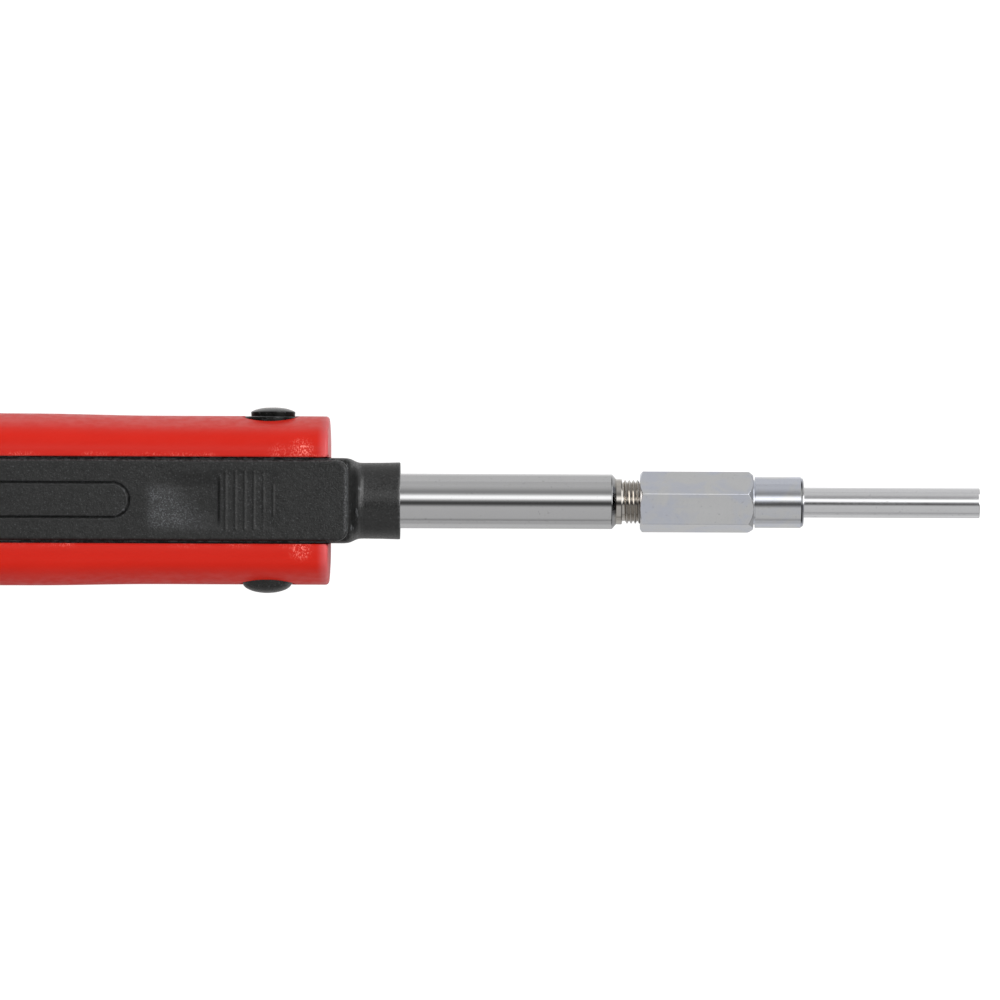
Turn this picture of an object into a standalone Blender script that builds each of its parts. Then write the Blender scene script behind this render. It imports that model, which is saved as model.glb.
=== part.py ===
"""Thumb-cocked desoldering pump, one object for each sub-part.

Shapes are made in millimetres and every object is written in metres.
u runs along the tool: 0 at the front end of the red handle, positive towards the nozzle.
Y is across the handle, positive to the left. Z is up out of the thumb slide's face,
0 on the handle's flat back. World X is u plus U_SHIFT, so the origin is under the middle.
"""
import math

import bmesh
import bpy
from mathutils import Matrix, Vector

# ---------------------------------------------------------------- driving dimensions, mm
TIP_U = 71.1          # nozzle end
END_U = -105.5        # rear of the end cap
U_SHIFT = -(TIP_U + END_U) / 2
AXIS_Z = 8.1          # height of the stem, cylinder and rod axis
THICKNESS = 17.6      # handle, back to face
LIP_Y = 4.75          # half-width of the slot in the handle's face
SHELL_END = -102.5    # rear end of the shells
SPLIT = 0.03          # half of the joint gap between the two shells
BORE_FIT = 0.06       # radial clearance around the stem and the nozzle

STEM_R, STEM_TAIL_R, STEM_BORE_R = 3.0, 2.5, 1.9
CLIP_U = -9.6         # middle of the stem clip
NECK_R, CREST_R, ROOT_R = 2.5, 2.38, 2.12
PITCH = 0.45
THREAD_U, THREAD_TURNS = 32.3, 8
NUT_REAR, NUT_HEX_END, NUT_END = 33.97, 46.33, 51.84
NUT_FLATS, SLEEVE_R = 6.0, 2.8
NOZZLE_R, NOZZLE_BORE_R = 1.65, 1.1

BUTTON_U, BUTTON_Z, BUTTON_R = -6.64, 10.2, 2.75

SLIDE_FRONT, SLIDE_REAR = 2.14, -71.6
SLIDE_Y, SLIDE_TOP, SLIDE_BOTTOM = 4.4, 17.4, 14.5
RIB_US = (-11.09, -10.04, -9.01, -8.03, -6.98, -5.92)

TUBE_R, TUBE_BORE_R = 5.7, 5.1
TUBE_PLUG_R = 5.02    # head and bush, where they fit in the tube
FLANGE_R = 6.2        # head and bush, outside the tube

PIN_U, PIN_HOLE_R = -65.3, 0.8
SLIDE_SCREW_U = -69.0
SHELL_SCREW_US = {"front": -8.2, "middle": -60.6, "rear": -82.0}
SHELL_SCREW_Z = 2.5
SCREW_SLOT_REACH, SCREW_SLOT_HALF = 1.1, 0.22   # half-length and half-width of a head slot

# handle plan: (u, half-width)
WIDTHS = (
    (0.0, 9.21), (-18.6, 9.21), (-23.0, 9.28), (-27.4, 9.36), (-32.5, 9.40), (-52.0, 9.45),
    (-66.0, 9.50), (-78.0, 9.45), (-90.0, 9.28), (SHELL_END, 8.90), (END_U, 8.75),
)

for old in list(bpy.data.objects):
    bpy.data.objects.remove(old, do_unlink=True)


# ---------------------------------------------------------------- materials
def material(name, colour, roughness, metallic=0):
    made = bpy.data.materials.new(name)
    made.use_nodes = True
    shader = made.node_tree.nodes["Principled BSDF"]
    shader.inputs["Base Color"].default_value = (*colour, 1)
    shader.inputs["Roughness"].default_value = roughness
    shader.inputs["Metallic"].default_value = metallic
    made.diffuse_color = (*colour, 1)
    return made


RED = material("red_plastic", colour=(0.60, 0.022, 0.015), roughness=0.42)
BLACK = material("black_plastic", colour=(0.038, 0.038, 0.040), roughness=0.55)
STEEL = material("polished_steel", colour=(0.62, 0.62, 0.63), roughness=0.16, metallic=1)
SATIN = material("satin_steel", colour=(0.58, 0.58, 0.60), roughness=0.32, metallic=1)
BRASS = material("brass", colour=(0.72, 0.52, 0.22), roughness=0.3, metallic=1)
ALUMINIUM = material("aluminium", colour=(0.70, 0.71, 0.73), roughness=0.3, metallic=1)
NYLON = material("white_nylon", colour=(0.75, 0.74, 0.70), roughness=0.45)
RUBBER = material("black_rubber", colour=(0.025, 0.025, 0.025), roughness=0.7)
PTFE = material("ptfe", colour=(0.86, 0.86, 0.84), roughness=0.5)
SPRING = material("spring_steel", colour=(0.50, 0.50, 0.52), roughness=0.28, metallic=1)

# ---------------------------------------------------------------- shape makers, mm
AXES = {"X": Vector((1, 0, 0)), "Y": Vector((0, 1, 0)), "Z": Vector((0, 0, 1))}
TOOL_AXIS = (0.0, AXIS_Z)
MERGE = 0.0005        # points closer than this become one


def new_object(name, mesh):
    """The finished bmesh as an object, with its faces pointing out.

    Points are snapped to 0.00001 mm, so that faces meant to lie in one plane do.
    """
    for vert in mesh.verts:
        vert.co = [round(c, 5) for c in vert.co]
    bmesh.ops.recalc_face_normals(mesh, faces=mesh.faces)
    if mesh.calc_volume(signed=True) < 0:
        bmesh.ops.reverse_faces(mesh, faces=mesh.faces)
    data = bpy.data.meshes.new(name)
    mesh.to_mesh(data)
    mesh.free()
    piece = bpy.data.objects.new(name, data)
    bpy.context.scene.collection.objects.link(piece)
    return piece


def evaluated_mesh(piece):
    bpy.context.view_layer.update()
    graph = bpy.context.evaluated_depsgraph_get()
    return bpy.data.meshes.new_from_object(piece.evaluated_get(graph))


def place(axis, centre, along, radius, angle):
    """A point by distance along an axis, radius and angle about it.

    centre is where the axis stands in the other two coordinates, in X, Y, Z order.
    """
    c, s = radius * math.cos(angle), radius * math.sin(angle)
    if axis == "X":
        return (along, centre[0] + c, centre[1] + s)
    if axis == "Y":
        return (centre[0] + s, along, centre[1] + c)
    return (centre[0] + c, centre[1] + s, along)


def turned(name, profile, n, axis="X", centre=TOOL_AXIS):
    """A turned piece: its (distance along, radius) profile spun once about the axis.

    A profile that starts and ends on the axis makes a solid, any other is closed into a ring.
    """
    mesh = bmesh.new()
    verts = [mesh.verts.new(place(axis, centre, along, r, 0)) for along, r in profile]
    edges = [mesh.edges.new(pair) for pair in zip(verts, verts[1:])]
    if profile[0][1]:
        edges.append(mesh.edges.new((verts[-1], verts[0])))
    bmesh.ops.spin(mesh, geom=verts + edges, cent=place(axis, centre, 0, 0, 0),
                   axis=AXES[axis], dvec=(0, 0, 0), angle=2 * math.pi, steps=n,
                   use_merge=False, use_duplicate=False)
    bmesh.ops.remove_doubles(mesh, verts=mesh.verts, dist=MERGE)
    return new_object(name, mesh)


def rod(name, start, end, radius, n=24, axis="X", centre=TOOL_AXIS):
    return turned(name, [(start, 0), (start, radius), (end, radius), (end, 0)], n, axis, centre)


def torus(name, u, major, minor, n, section_n=5):
    """An O-ring about the tool's axis."""
    angles = [2 * math.pi * k / section_n for k in range(section_n)]
    return turned(name, [(u + minor * math.cos(t), major + minor * math.sin(t))
                         for t in angles], n)


def circle(u, radius, n):
    """A ring of points about the tool's axis; radius is a number or a rule of the angle."""
    angles = [2 * math.pi * k / n for k in range(n)]
    return [place("X", TOOL_AXIS, u, radius(t) if callable(radius) else radius, t)
            for t in angles]


def loft(name, loops, closed=False):
    """Loops of points bridged in turn. The ends are capped, or bridged together if closed."""
    mesh = bmesh.new()
    rings = [[mesh.verts.new(point) for point in loop] for loop in loops]
    edges = [[mesh.edges.new((ring[k - 1], ring[k])) for k in range(len(ring))]
             for ring in rings]
    for near, far in zip(edges, edges[1:] + (edges[:1] if closed else [])):
        bmesh.ops.bridge_loops(mesh, edges=near + far)
    if not closed:
        mesh.faces.new(rings[0])
        mesh.faces.new(rings[-1])
    return new_object(name, mesh)


def prism(name, outline, depth):
    """A flat outline extruded by the vector depth."""
    mesh = bmesh.new()
    face = mesh.faces.new([mesh.verts.new(point) for point in outline])
    extruded = bmesh.ops.extrude_face_region(mesh, geom=[face])["geom"]
    far = [item for item in extruded if isinstance(item, bmesh.types.BMVert)]
    bmesh.ops.translate(mesh, verts=far, vec=depth)
    return new_object(name, mesh)


def prism_x(name, section, u_start, u_end):
    """A (y, z) section extruded along the tool."""
    return prism(name, [(u_start, y, z) for y, z in section], (u_end - u_start, 0, 0))


def block(name, u_low, u_high, y_low, y_high, z_low, z_high):
    mesh = bmesh.new()
    middle = Vector(((u_low + u_high) / 2, (y_low + y_high) / 2, (z_low + z_high) / 2))
    size = Matrix.Diagonal((u_high - u_low, y_high - y_low, z_high - z_low, 1))
    bmesh.ops.create_cube(mesh, size=1.0, matrix=Matrix.Translation(middle) @ size)
    return new_object(name, mesh)


def ellipsoid(name, centre, radii, n=28, rows=9):
    mesh = bmesh.new()
    bmesh.ops.create_uvsphere(mesh, u_segments=n, v_segments=rows, radius=1.0,
                              matrix=Matrix.Translation(centre) @ Matrix.Diagonal((*radii, 1)))
    return new_object(name, mesh)


def coil(name, start, end, major, wire, turns, per_turn, axis="X", centre=TOOL_AXIS):
    """A compression spring with closed ends; start and end are its outside faces."""
    low, high = min(start, end) + wire, max(start, end) - wire
    steps = turns * per_turn
    closed = 0.9                      # turns wound tight at each end
    tight = 2 * wire * 1.04           # pitch of those turns
    open_pitch = (high - low - 2 * closed * tight) / (turns - 2 * closed)

    def along(turn):
        if turn < closed:
            return low + tight * turn
        if turn > turns - closed:
            return high - tight * (turns - turn)
        return low + tight * closed + open_pitch * (turn - closed)

    curve = bpy.data.curves.new(name, "CURVE")
    curve.dimensions = "3D"
    curve.bevel_depth = wire
    curve.bevel_resolution = 1
    curve.use_fill_caps = True
    line = curve.splines.new("POLY")
    line.points.add(steps)
    for k, point in enumerate(line.points):
        turn = turns * k / steps
        point.co = (*place(axis, centre, along(turn), major, 2 * math.pi * turn), 1)
    wound = bpy.data.objects.new(name, curve)
    bpy.context.scene.collection.objects.link(wound)
    mesh = bmesh.new()
    mesh.from_mesh(evaluated_mesh(wound))
    bpy.data.objects.remove(wound, do_unlink=True)
    bmesh.ops.remove_doubles(mesh, verts=mesh.verts, dist=MERGE)
    return new_object(name, mesh)


class Skin:
    """Rings of points about the tool's axis, joined into the skin of a threaded piece."""

    def __init__(self, n):
        self.n, self.points, self.faces = n, [], []

    def join(self, near, far):
        for i in range(self.n):
            k = (i + 1) % self.n
            self.faces.append((near[i], near[k], far[k], far[i]))

    def rings(self, profile):
        """A ring for each (u, radius), each joined to the next."""
        made = []
        for u, radius in profile:
            first = len(self.points)
            self.points += circle(u, radius, self.n)
            made.append(list(range(first, first + self.n)))
        for near, far in zip(made, made[1:]):
            self.join(near, far)
        return made

    def thread(self, rear, front, start, turns, root_r, crest_r, first_r):
        """A one-start right-hand V thread between two rings; its rows follow the helix."""
        n, rows = self.n, 2 * turns
        grid = []
        for i in range(n):
            column = []
            for j in range(rows + 1):
                radius = first_r if j == 0 else crest_r if j % 2 else root_r
                u = start + PITCH * (j / 2 + i / n)
                column.append(len(self.points))
                self.points.append(place("X", TOOL_AXIS, u, radius, 2 * math.pi * i / n))
            grid.append(column)
        for i in range(n - 1):
            here, beside = grid[i], grid[i + 1]
            self.faces.append((rear[i], rear[i + 1], beside[0], here[0]))
            self.faces.append((front[i], front[i + 1], beside[rows], here[rows]))
            for j in range(rows):
                self.faces.append((here[j], beside[j], beside[j + 1], here[j + 1]))
        # across the seam the helix has moved on by one turn, which is two rows
        first, last = grid[0], grid[-1]
        for j in range(rows - 2):
            self.faces.append((last[j], first[j + 2], first[j + 3], last[j + 1]))
        self.faces += [
            (rear[-1], rear[0], first[0]), (rear[-1], first[0], last[0]),
            (first[0], first[1], first[2]), (first[0], first[2], last[0]),
            (last[rows - 2], last[rows - 1], last[rows]),
            (first[rows], last[rows - 2], last[rows]),
            (first[rows], last[rows], front[-1]), (first[rows], front[-1], front[0]),
        ]

    def make(self, name):
        mesh = bmesh.new()
        verts = [mesh.verts.new(point) for point in self.points]
        for face in self.faces:
            mesh.faces.new([verts[k] for k in face])
        return new_object(name, mesh)


def squircle(half_y, half_z, power):
    """Radius rule of a superellipse."""
    def radius(angle):
        y, z = abs(math.cos(angle)) / half_y, abs(math.sin(angle)) / half_z
        return (y ** power + z ** power) ** (-1 / power)
    return radius


def hexagon(flats, limit=math.inf, turn=0.0):
    """Radius rule of a hexagon, from its distance across flats; limit cuts its corners."""
    sector = math.pi / 3

    def radius(angle):
        from_flat = (angle - turn + sector / 2) % sector - sector / 2
        return min(flats / 2 / math.cos(from_flat), limit)
    return radius


def mirrored(half):
    """A closed (y, z) section from its +Y half."""
    return half + [(-y, z) for y, z in reversed(half)]


def combine(piece, tool, operation):
    """Boolean of piece by tool; tool is used up."""
    modifier = piece.modifiers.new("boolean", "BOOLEAN")
    modifier.operation = operation
    modifier.solver = "EXACT"
    modifier.object = tool
    data = evaluated_mesh(piece)
    piece.modifiers.clear()
    piece.data = data
    bpy.data.objects.remove(tool, do_unlink=True)


def cut(piece, *tools):
    for tool in tools:
        combine(piece, tool, "DIFFERENCE")


def add(piece, *tools):
    for tool in tools:
        combine(piece, tool, "UNION")


# ---------------------------------------------------------------- groups and finishing
SHARP_ANGLE = math.radians(32)
groups = {}


def world(u, y, z):
    """A point of the tool in world metres."""
    return Vector(((u + U_SHIFT) / 1000, y / 1000, z / 1000))


def add_group(name, u, y=0.0, z=AXIS_Z):
    """An empty that carries the pieces of one group."""
    empty = bpy.data.objects.new(name, None)
    empty.empty_display_size = 0.005
    empty.location = world(u, y, z)
    bpy.context.scene.collection.objects.link(empty)
    groups[name] = empty


def finish(piece, surface, group, u, y=0.0, z=AXIS_Z):
    """Metres, origin at (u, y, z), material, shading and parent."""
    data = piece.data
    data.name = piece.name
    data.transform(Matrix.Scale(0.001, 4) @ Matrix.Translation(-Vector((u, y, z))))
    parent = groups[group]
    piece.location = world(u, y, z) - parent.location
    piece.parent = parent
    data.materials.clear()
    data.materials.append(surface)
    data.shade_smooth()
    data.set_sharp_from_angle(angle=SHARP_ANGLE)


add_group("tool", 0)
add_group("carriage", -67)
add_group("left_button_group", BUTTON_U, 9.0, BUTTON_Z)
add_group("right_button_group", BUTTON_U, -9.0, BUTTON_Z)
add_group("nozzle_group", NUT_REAR)
add_group("nut_group", NUT_REAR)

# ---------------------------------------------------------------- handle outline
BACK_Y, FACE_Y = 5.4, 5.3               # half-widths of the flat back and of the face
SIDE_R, SIDE_MID_Z = 15.0, 9.0          # arc of the side
SIDE_LOW_Z, SIDE_HIGH_Z = 3.6, 13.2     # where the corners meet the arc
CORNER_STEPS, SIDE_STEPS = 4, 4


def width(u):
    """Half-width of the handle at u."""
    for (u1, width1), (u2, width2) in zip(WIDTHS, WIDTHS[1:]):
        if u >= u2:
            return width1 + (width2 - width1) * (u1 - u) / (u1 - u2)


def bezier(*controls, n=CORNER_STEPS):
    """The points between the ends of a cubic curve."""
    return [tuple((1 - t) ** 3 * a + 3 * (1 - t) ** 2 * t * b + 3 * (1 - t) * t * t * c + t ** 3 * d
                  for a, b, c, d in zip(*controls))
            for t in (k / n for k in range(1, n))]


def side_point(half_width, z):
    return (half_width - SIDE_R + math.sqrt(SIDE_R ** 2 - (z - SIDE_MID_Z) ** 2), z)


def side_tangent(z, reach):
    """A vector up along the side's arc at height z."""
    lean = -(z - SIDE_MID_Z) / math.sqrt(SIDE_R ** 2 - (z - SIDE_MID_Z) ** 2)
    length = math.hypot(lean, 1)
    return reach * (lean / length), reach * (1 / length)


def moved_in(points, inset):
    moved = []
    last = len(points) - 1
    for i, (y, z) in enumerate(points):
        before, after = points[max(0, i - 1)], points[min(last, i + 1)]
        run_y, run_z = after[0] - before[0], after[1] - before[1]
        if i == 0:
            run_y, run_z = 1, 0
        if i == last:
            run_y, run_z = -1, 0
        length = math.hypot(run_y, run_z)
        moved.append((y - inset * run_z / length, z + inset * run_y / length))
    return moved


def outline_half(half_width, inset=0.0):
    """(y, z) from the flat back round to the top of the lip, moved in by inset."""
    back, face = (BACK_Y, 0.0), (FACE_Y, THICKNESS)
    low, high = side_point(half_width, SIDE_LOW_Z), side_point(half_width, SIDE_HIGH_Z)
    low_y, low_z = side_tangent(SIDE_LOW_Z, 2.0)
    high_y, high_z = side_tangent(SIDE_HIGH_Z, 2.2)
    points = [back]
    points += bezier(back, (BACK_Y + 1.9, 0), (low[0] - low_y, low[1] - low_z), low)
    points.append(low)
    points += [side_point(half_width, SIDE_LOW_Z + (SIDE_HIGH_Z - SIDE_LOW_Z) * k / SIDE_STEPS)
               for k in range(1, SIDE_STEPS)]
    points.append(high)
    points += bezier(high, (high[0] + high_y, high[1] + high_z), (FACE_Y + 2.1, THICKNESS), face)
    points.append(face)
    return moved_in(points, inset) if inset else points


# ---------------------------------------------------------------- handle shells
SLOT_FLOOR_Z = 15.0                     # of the slot in the face, before it is hollowed
LIP_CHAMFER = 0.25
CHANNEL_Y, CHANNEL_TOP_Z = 6.8, 16.1    # channel of the slide's flange
CAVITY_REAR = -99.45


def shell_section(u, inset, sign):
    top, lip = THICKNESS - inset, LIP_Y + inset
    points = [(SPLIT, inset)] + outline_half(width(u), inset)
    points += [(lip + LIP_CHAMFER, top), (lip, top - LIP_CHAMFER), (lip, SLOT_FLOOR_Z),
               (SPLIT, SLOT_FLOOR_Z)]
    return [(u, sign * y, z) for y, z in points]


def cell(u_rear, u_front, high=12.9):
    """The hollow inside both shells between two ribs."""
    half = [(5.2, 1.8), (6.9, 3.5), (7.35, 6.2), (7.4, 9.0), (7.3, high)]
    return prism_x("cell", mirrored(half), u_rear, u_front)


def shell_cutters():
    return [
        block("channel", CAVITY_REAR, -1.7, -CHANNEL_Y, CHANNEL_Y, 14.3, CHANNEL_TOP_Z),
        cell(-11.0, -1.7),
        cell(-33.0, -14.4),
        cell(-52.5, -34.5),
        cell(CAVITY_REAR, -57.9),
        block("rib_path", -58.0, -1.6, -5.75, 5.75, 12.8, 14.4),
        block("neck_path", CAVITY_REAR, -57.0, -1.75, 1.75, 12.8, 14.4),
        turned("cylinder_path", [
            (-10.9, 0), (-10.9, FLANGE_R + 0.1), (-12.9, FLANGE_R + 0.1), (-12.9, TUBE_R + 0.1),
            (-54.95, TUBE_R + 0.1), (-54.95, FLANGE_R + 0.1), (-56.35, FLANGE_R + 0.1),
            (-56.35, 4.3), (-58.0, 4.3), (-58.0, 0)], 24),
        # the nose of the front housing goes through the front wall
        block("nose_path", -1.8, 0.5, -LIP_Y, LIP_Y, 1.9, 14.4),
        block("slide_nose_path", -1.8, 0.5, -LIP_Y, LIP_Y, 14.2, 15.2),
        # end cap plug, with a rib left between the two pockets
        cell(-100.35, -99.3, high=14.1),
        cell(-102.6, -101.35, high=14.1),
        prism_x("plug_waist", mirrored([(4.2, 2.6), (6.4, 5.0), (6.4, 12.6), (4.2, 13.4)]),
                -101.6, -100.1),
        block("plug_top", -102.6, -99.3, -LIP_Y, LIP_Y, 13.0, 15.2),
        block("plug_channel", -102.6, -99.3, -CHANNEL_Y, CHANNEL_Y, 13.9, CHANNEL_TOP_Z),
    ]


def handle_shell(name, sign):
    """Half of the handle: sign 1 is the left shell, -1 the right."""
    # the front edge is rounded by the insets of the first stations
    stations = [(0.0, 0.4), (-0.12, 0.12), (-0.4, 0.0)] + [(u, 0.0) for u, _ in WIDTHS[1:-1]]
    shell = loft(name, [shell_section(u, inset, sign) for u, inset in stations])
    cut(shell, *shell_cutters())
    for u in SHELL_SCREW_US.values():
        add(shell, rod("pillar", sign * SPLIT, sign * 6.6, 1.9, 14, "Y", (u, SHELL_SCREW_Z)))
    button_centre = (BUTTON_U, BUTTON_Z)
    cut(shell,
        rod("button_hole", sign * 5.0, sign * 11.0, BUTTON_R + 0.16, 24, "Y", button_centre),
        rod("button_pocket", sign * 4.9, sign * 7.42, 3.5, 16, "Y", button_centre))
    for u in SHELL_SCREW_US.values():
        if sign > 0:
            cut(shell, rod("pilot", -0.5, 6.0, 1.1, 10, "Y", (u, SHELL_SCREW_Z)))
        else:
            clearance = [(0.5, 0), (0.5, 1.15), (-6.3, 1.15), (-6.3, 2.05), (-11, 2.05), (-11, 0)]
            cut(shell, turned("clearance", clearance, 16, "Y", (u, SHELL_SCREW_Z)))
    finish(shell, RED, "tool", -50, sign * 5, 8.8)


def shell_screw(name, u):
    """Screw from the right, its cross-slotted head sunk into the right shell."""
    z = SHELL_SCREW_Z
    screw = turned(name, [(-7.75, 0), (-7.75, 1.3), (-7.5, 1.8), (-6.5, 1.8), (-6.5, 1.0),
                          (4.9, 1.0), (5.6, 0.4), (5.6, 0)], 12, "Y", (u, z))
    for along, up in ((SCREW_SLOT_REACH, SCREW_SLOT_HALF), (SCREW_SLOT_HALF, SCREW_SLOT_REACH)):
        cut(screw, block("slot", u - along, u + along, -8.2, -7.1, z - up, z + up))
    finish(screw, SPRING, "tool", u, -6.5, z)


handle_shell("handle_shell_left", 1)
handle_shell("handle_shell_right", -1)
for label, screw_u in SHELL_SCREW_US.items():
    shell_screw("shell_screw_" + label, screw_u)


# ---------------------------------------------------------------- front housing
def front_housing():
    """Nose that narrows from a rounded box to the round collar of the stem."""
    # (u, radius or radius rule)
    rows = [
        (-3.1, squircle(4.66, 6.1, 9)), (1.85, squircle(4.66, 6.1, 9)),
        (2.15, squircle(4.60, 5.98, 8)), (2.41, squircle(4.50, 5.7, 6)),
        (2.63, squircle(4.40, 5.3, 4.6)), (2.85, squircle(4.29, 4.85, 3.4)),
        (3.10, squircle(4.19, 4.42, 2.5)), (3.45, squircle(4.15, 4.2, 2.1)),
        (4.2, 4.15), (7.55, 4.21), (7.73, 4.06),
    ]
    tail_bore, bore = STEM_TAIL_R + BORE_FIT, STEM_R + BORE_FIT
    housing = loft("front_housing", [circle(u, radius, 32) for u, radius in rows])
    add(housing,
        block("retainer", -3.2, -1.9, -5.6, 5.6, 2.3, 12.7),
        block("saddle", -10.85, -2.5, -3.3, 3.3, 4.4, 12.05),
        block("latch_seat", -4.7, -2.4, -3.1, 3.1, 11.5, 14.1))
    cut(housing,
        turned("bore", [(-12, 0), (-12, tail_bore), (-1.1, tail_bore), (-1.1, bore), (9, bore),
                        (9, 0)], 32),
        block("clip_slot", CLIP_U - 0.5, CLIP_U + 0.5, -4, 4, 4.0, 11.6),
        block("leaf_slot", -5.5, -2.9, -2.3, 2.3, 12.4, 13.1))
    finish(housing, BLACK, "tool", 3.0)


front_housing()


# ---------------------------------------------------------------- stem tube and its clip
def stem_tube():
    """Tube with a clip groove near its rear end and a thread at its front end."""
    groove_rear, groove_front = CLIP_U - 0.42, CLIP_U + 0.42
    # (u, radius), rear end to the thread
    outside = [
        (-15.0, 2.35), (-14.8, STEM_TAIL_R), (groove_rear, STEM_TAIL_R), (groove_rear, 2.15),
        (groove_front, 2.15), (groove_front, STEM_TAIL_R), (-1.02, STEM_TAIL_R),
        (-1.02, STEM_R), (30.87, STEM_R), (31.25, NECK_R + 0.02), (31.3, NECK_R),
        (32.18, NECK_R), (32.22, ROOT_R),
    ]
    # (u, radius), thread round the front end and back through the bore
    inside = [
        (37.6, ROOT_R), (38.35, 2.08), (38.55, 1.9), (38.55, 1.48), (30.0, 1.48),
        (29.4, STEM_BORE_R), (-15.0, STEM_BORE_R),
    ]
    skin = Skin(20)
    outer = skin.rings(outside)
    inner = skin.rings(inside)
    skin.thread(outer[-1], inner[0], THREAD_U, THREAD_TURNS,
                root_r=ROOT_R, crest_r=CREST_R, first_r=ROOT_R)
    skin.join(inner[-1], outer[0])
    finish(skin.make("stem_tube"), STEEL, "tool", 10.0)


def stem_clip():
    clip = rod("stem_clip", CLIP_U - 0.4, CLIP_U + 0.4, 3.15)
    cut(clip, rod("hole", -11, -8, 2.22), block("mouth", -11, -8, -2.0, 2.0, 2.0, AXIS_Z))
    finish(clip, SPRING, "tool", CLIP_U)


stem_tube()
stem_clip()

# ---------------------------------------------------------------- O-rings
# (name, group, u, ring radius, section radius, segments)
SEALS = (
    ("stem_seal", "tool", -12.85, 3.0, 0.42, 16),
    ("head_seal", "tool", -14.75, 4.63, 0.42, 20),
    ("piston_seal", "carriage", -19.88, 4.60, 0.44, 20),
)
for seal_name, seal_group, seal_u, *seal_sizes in SEALS:
    finish(torus(seal_name, seal_u, *seal_sizes), RUBBER, seal_group, seal_u)


# ---------------------------------------------------------------- vacuum cylinder
def cylinder_tube():
    front, rear = -12.8, -54.9
    tube = turned("cylinder_tube", [(front, TUBE_BORE_R), (front, TUBE_R), (rear, TUBE_R),
                                    (rear, TUBE_BORE_R)], 28)
    finish(tube, ALUMINIUM, "tool", -34)


def cylinder_head():
    """Front plug of the tube, grooved outside and inside for its two seals."""
    bore = STEM_TAIL_R + BORE_FIT
    head = turned("cylinder_head", [
        (-11.1, bore), (-11.1, FLANGE_R), (-12.7, FLANGE_R), (-12.7, TUBE_PLUG_R),
        (-14.15, TUBE_PLUG_R), (-14.15, 4.18), (-15.35, 4.18), (-15.35, TUBE_PLUG_R),
        (-16.3, TUBE_PLUG_R), (-16.3, 1.7), (-15.15, 1.7), (-15.15, bore), (-13.45, bore),
        (-13.45, 3.5), (-12.25, 3.5), (-12.25, bore)], 24)
    finish(head, BRASS, "tool", -12.7)


def rod_bush():
    """Rear plug of the tube, with a vent each side of the rod."""
    bore = 1.56
    bush = turned("rod_bush", [
        (-52.1, bore), (-52.1, TUBE_PLUG_R), (-55.0, TUBE_PLUG_R), (-55.0, FLANGE_R),
        (-56.2, FLANGE_R), (-56.2, bore)], 24)
    for side in (-1, 1):
        cut(bush, rod("vent", -51, -58, 0.55, 10, "X", (3.6 * side, AXIS_Z)))
    finish(bush, NYLON, "tool", -55)


def bumper_ring():
    bumper = turned("bumper_ring", [(-51.15, 1.8), (-51.15, 4.1), (-51.35, 4.4), (-52.0, 4.4),
                                    (-52.0, 1.8)], 20)
    finish(bumper, RUBBER, "tool", -51.6)


cylinder_tube()
cylinder_head()
rod_bush()
bumper_ring()


# ---------------------------------------------------------------- carriage: piston and rod
def piston():
    body = turned("piston", [
        (-17.2, 2.75), (-17.2, 4.8), (-17.4, 4.98), (-19.2, 4.98), (-19.2, 4.12),
        (-20.55, 4.12), (-20.55, 4.98), (-23.0, 4.98), (-23.2, 4.8), (-23.2, 1.06),
        (-19.25, 1.06), (-19.25, 2.75)], 24)
    finish(body, NYLON, "carriage", -20)


def piston_nut():
    front, rear, bore, outside = -17.5, -19.1, 1.08, hexagon(3.96)
    rows = ((front, bore), (front, outside), (rear, outside), (rear, bore))
    nut = loft("piston_nut", [circle(u, radius, 12) for u, radius in rows], closed=True)
    finish(nut, BRASS, "carriage", -18.3)


def piston_rod():
    shaft = turned("piston_rod", [
        (-17.35, 0.56), (-17.35, 1.0), (-23.3, 1.0), (-23.3, 1.5), (-66.6, 1.5),
        (-66.9, 1.2), (-66.9, 0.56)], 16)
    cut(shaft, rod("pin_hole", -3, 3, PIN_HOLE_R, 10, "Y", (PIN_U, AXIS_Z)))
    finish(shaft, STEEL, "carriage", -40)


def cleaning_rod():
    needle = turned("cleaning_rod", [(-24.0, 0), (-24.0, 0.5), (68.4, 0.5), (69.0, 0.25),
                                     (69.0, 0)], 12)
    finish(needle, STEEL, "carriage", 20)


piston()
piston_nut()
piston_rod()
cleaning_rod()


# ---------------------------------------------------------------- carriage: crosshead
def crosshead():
    """Block that joins the rod, by a cross pin, to the slide, by an upright screw."""
    body = block("crosshead", -71.0, -63.8, -4.5, 4.5, 4.7, 12.6)
    add(body, block("neck", -70.8, -64.2, -1.45, 1.45, 12.0, 15.25))
    cut(body,
        rod("rod_hole", -60, -67.0, 1.6, 16),
        rod("spring_seat", -60, -64.1, 3.25, 20),
        rod("pin_hole", -6, 6, PIN_HOLE_R, 10, "Y", (PIN_U, AXIS_Z)),
        turned("screw_hole", [(3.0, 0), (3.0, 1.95), (6.2, 1.95), (6.2, 1.14), (17, 1.14),
                              (17, 0)], 14, "Z", (SLIDE_SCREW_U, 0)))
    finish(body, NYLON, "carriage", -67)


def rod_pin():
    pin = rod("rod_pin", -4.35, 4.35, 0.74, 10, "Y", (PIN_U, AXIS_Z))
    finish(pin, STEEL, "carriage", PIN_U)


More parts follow.
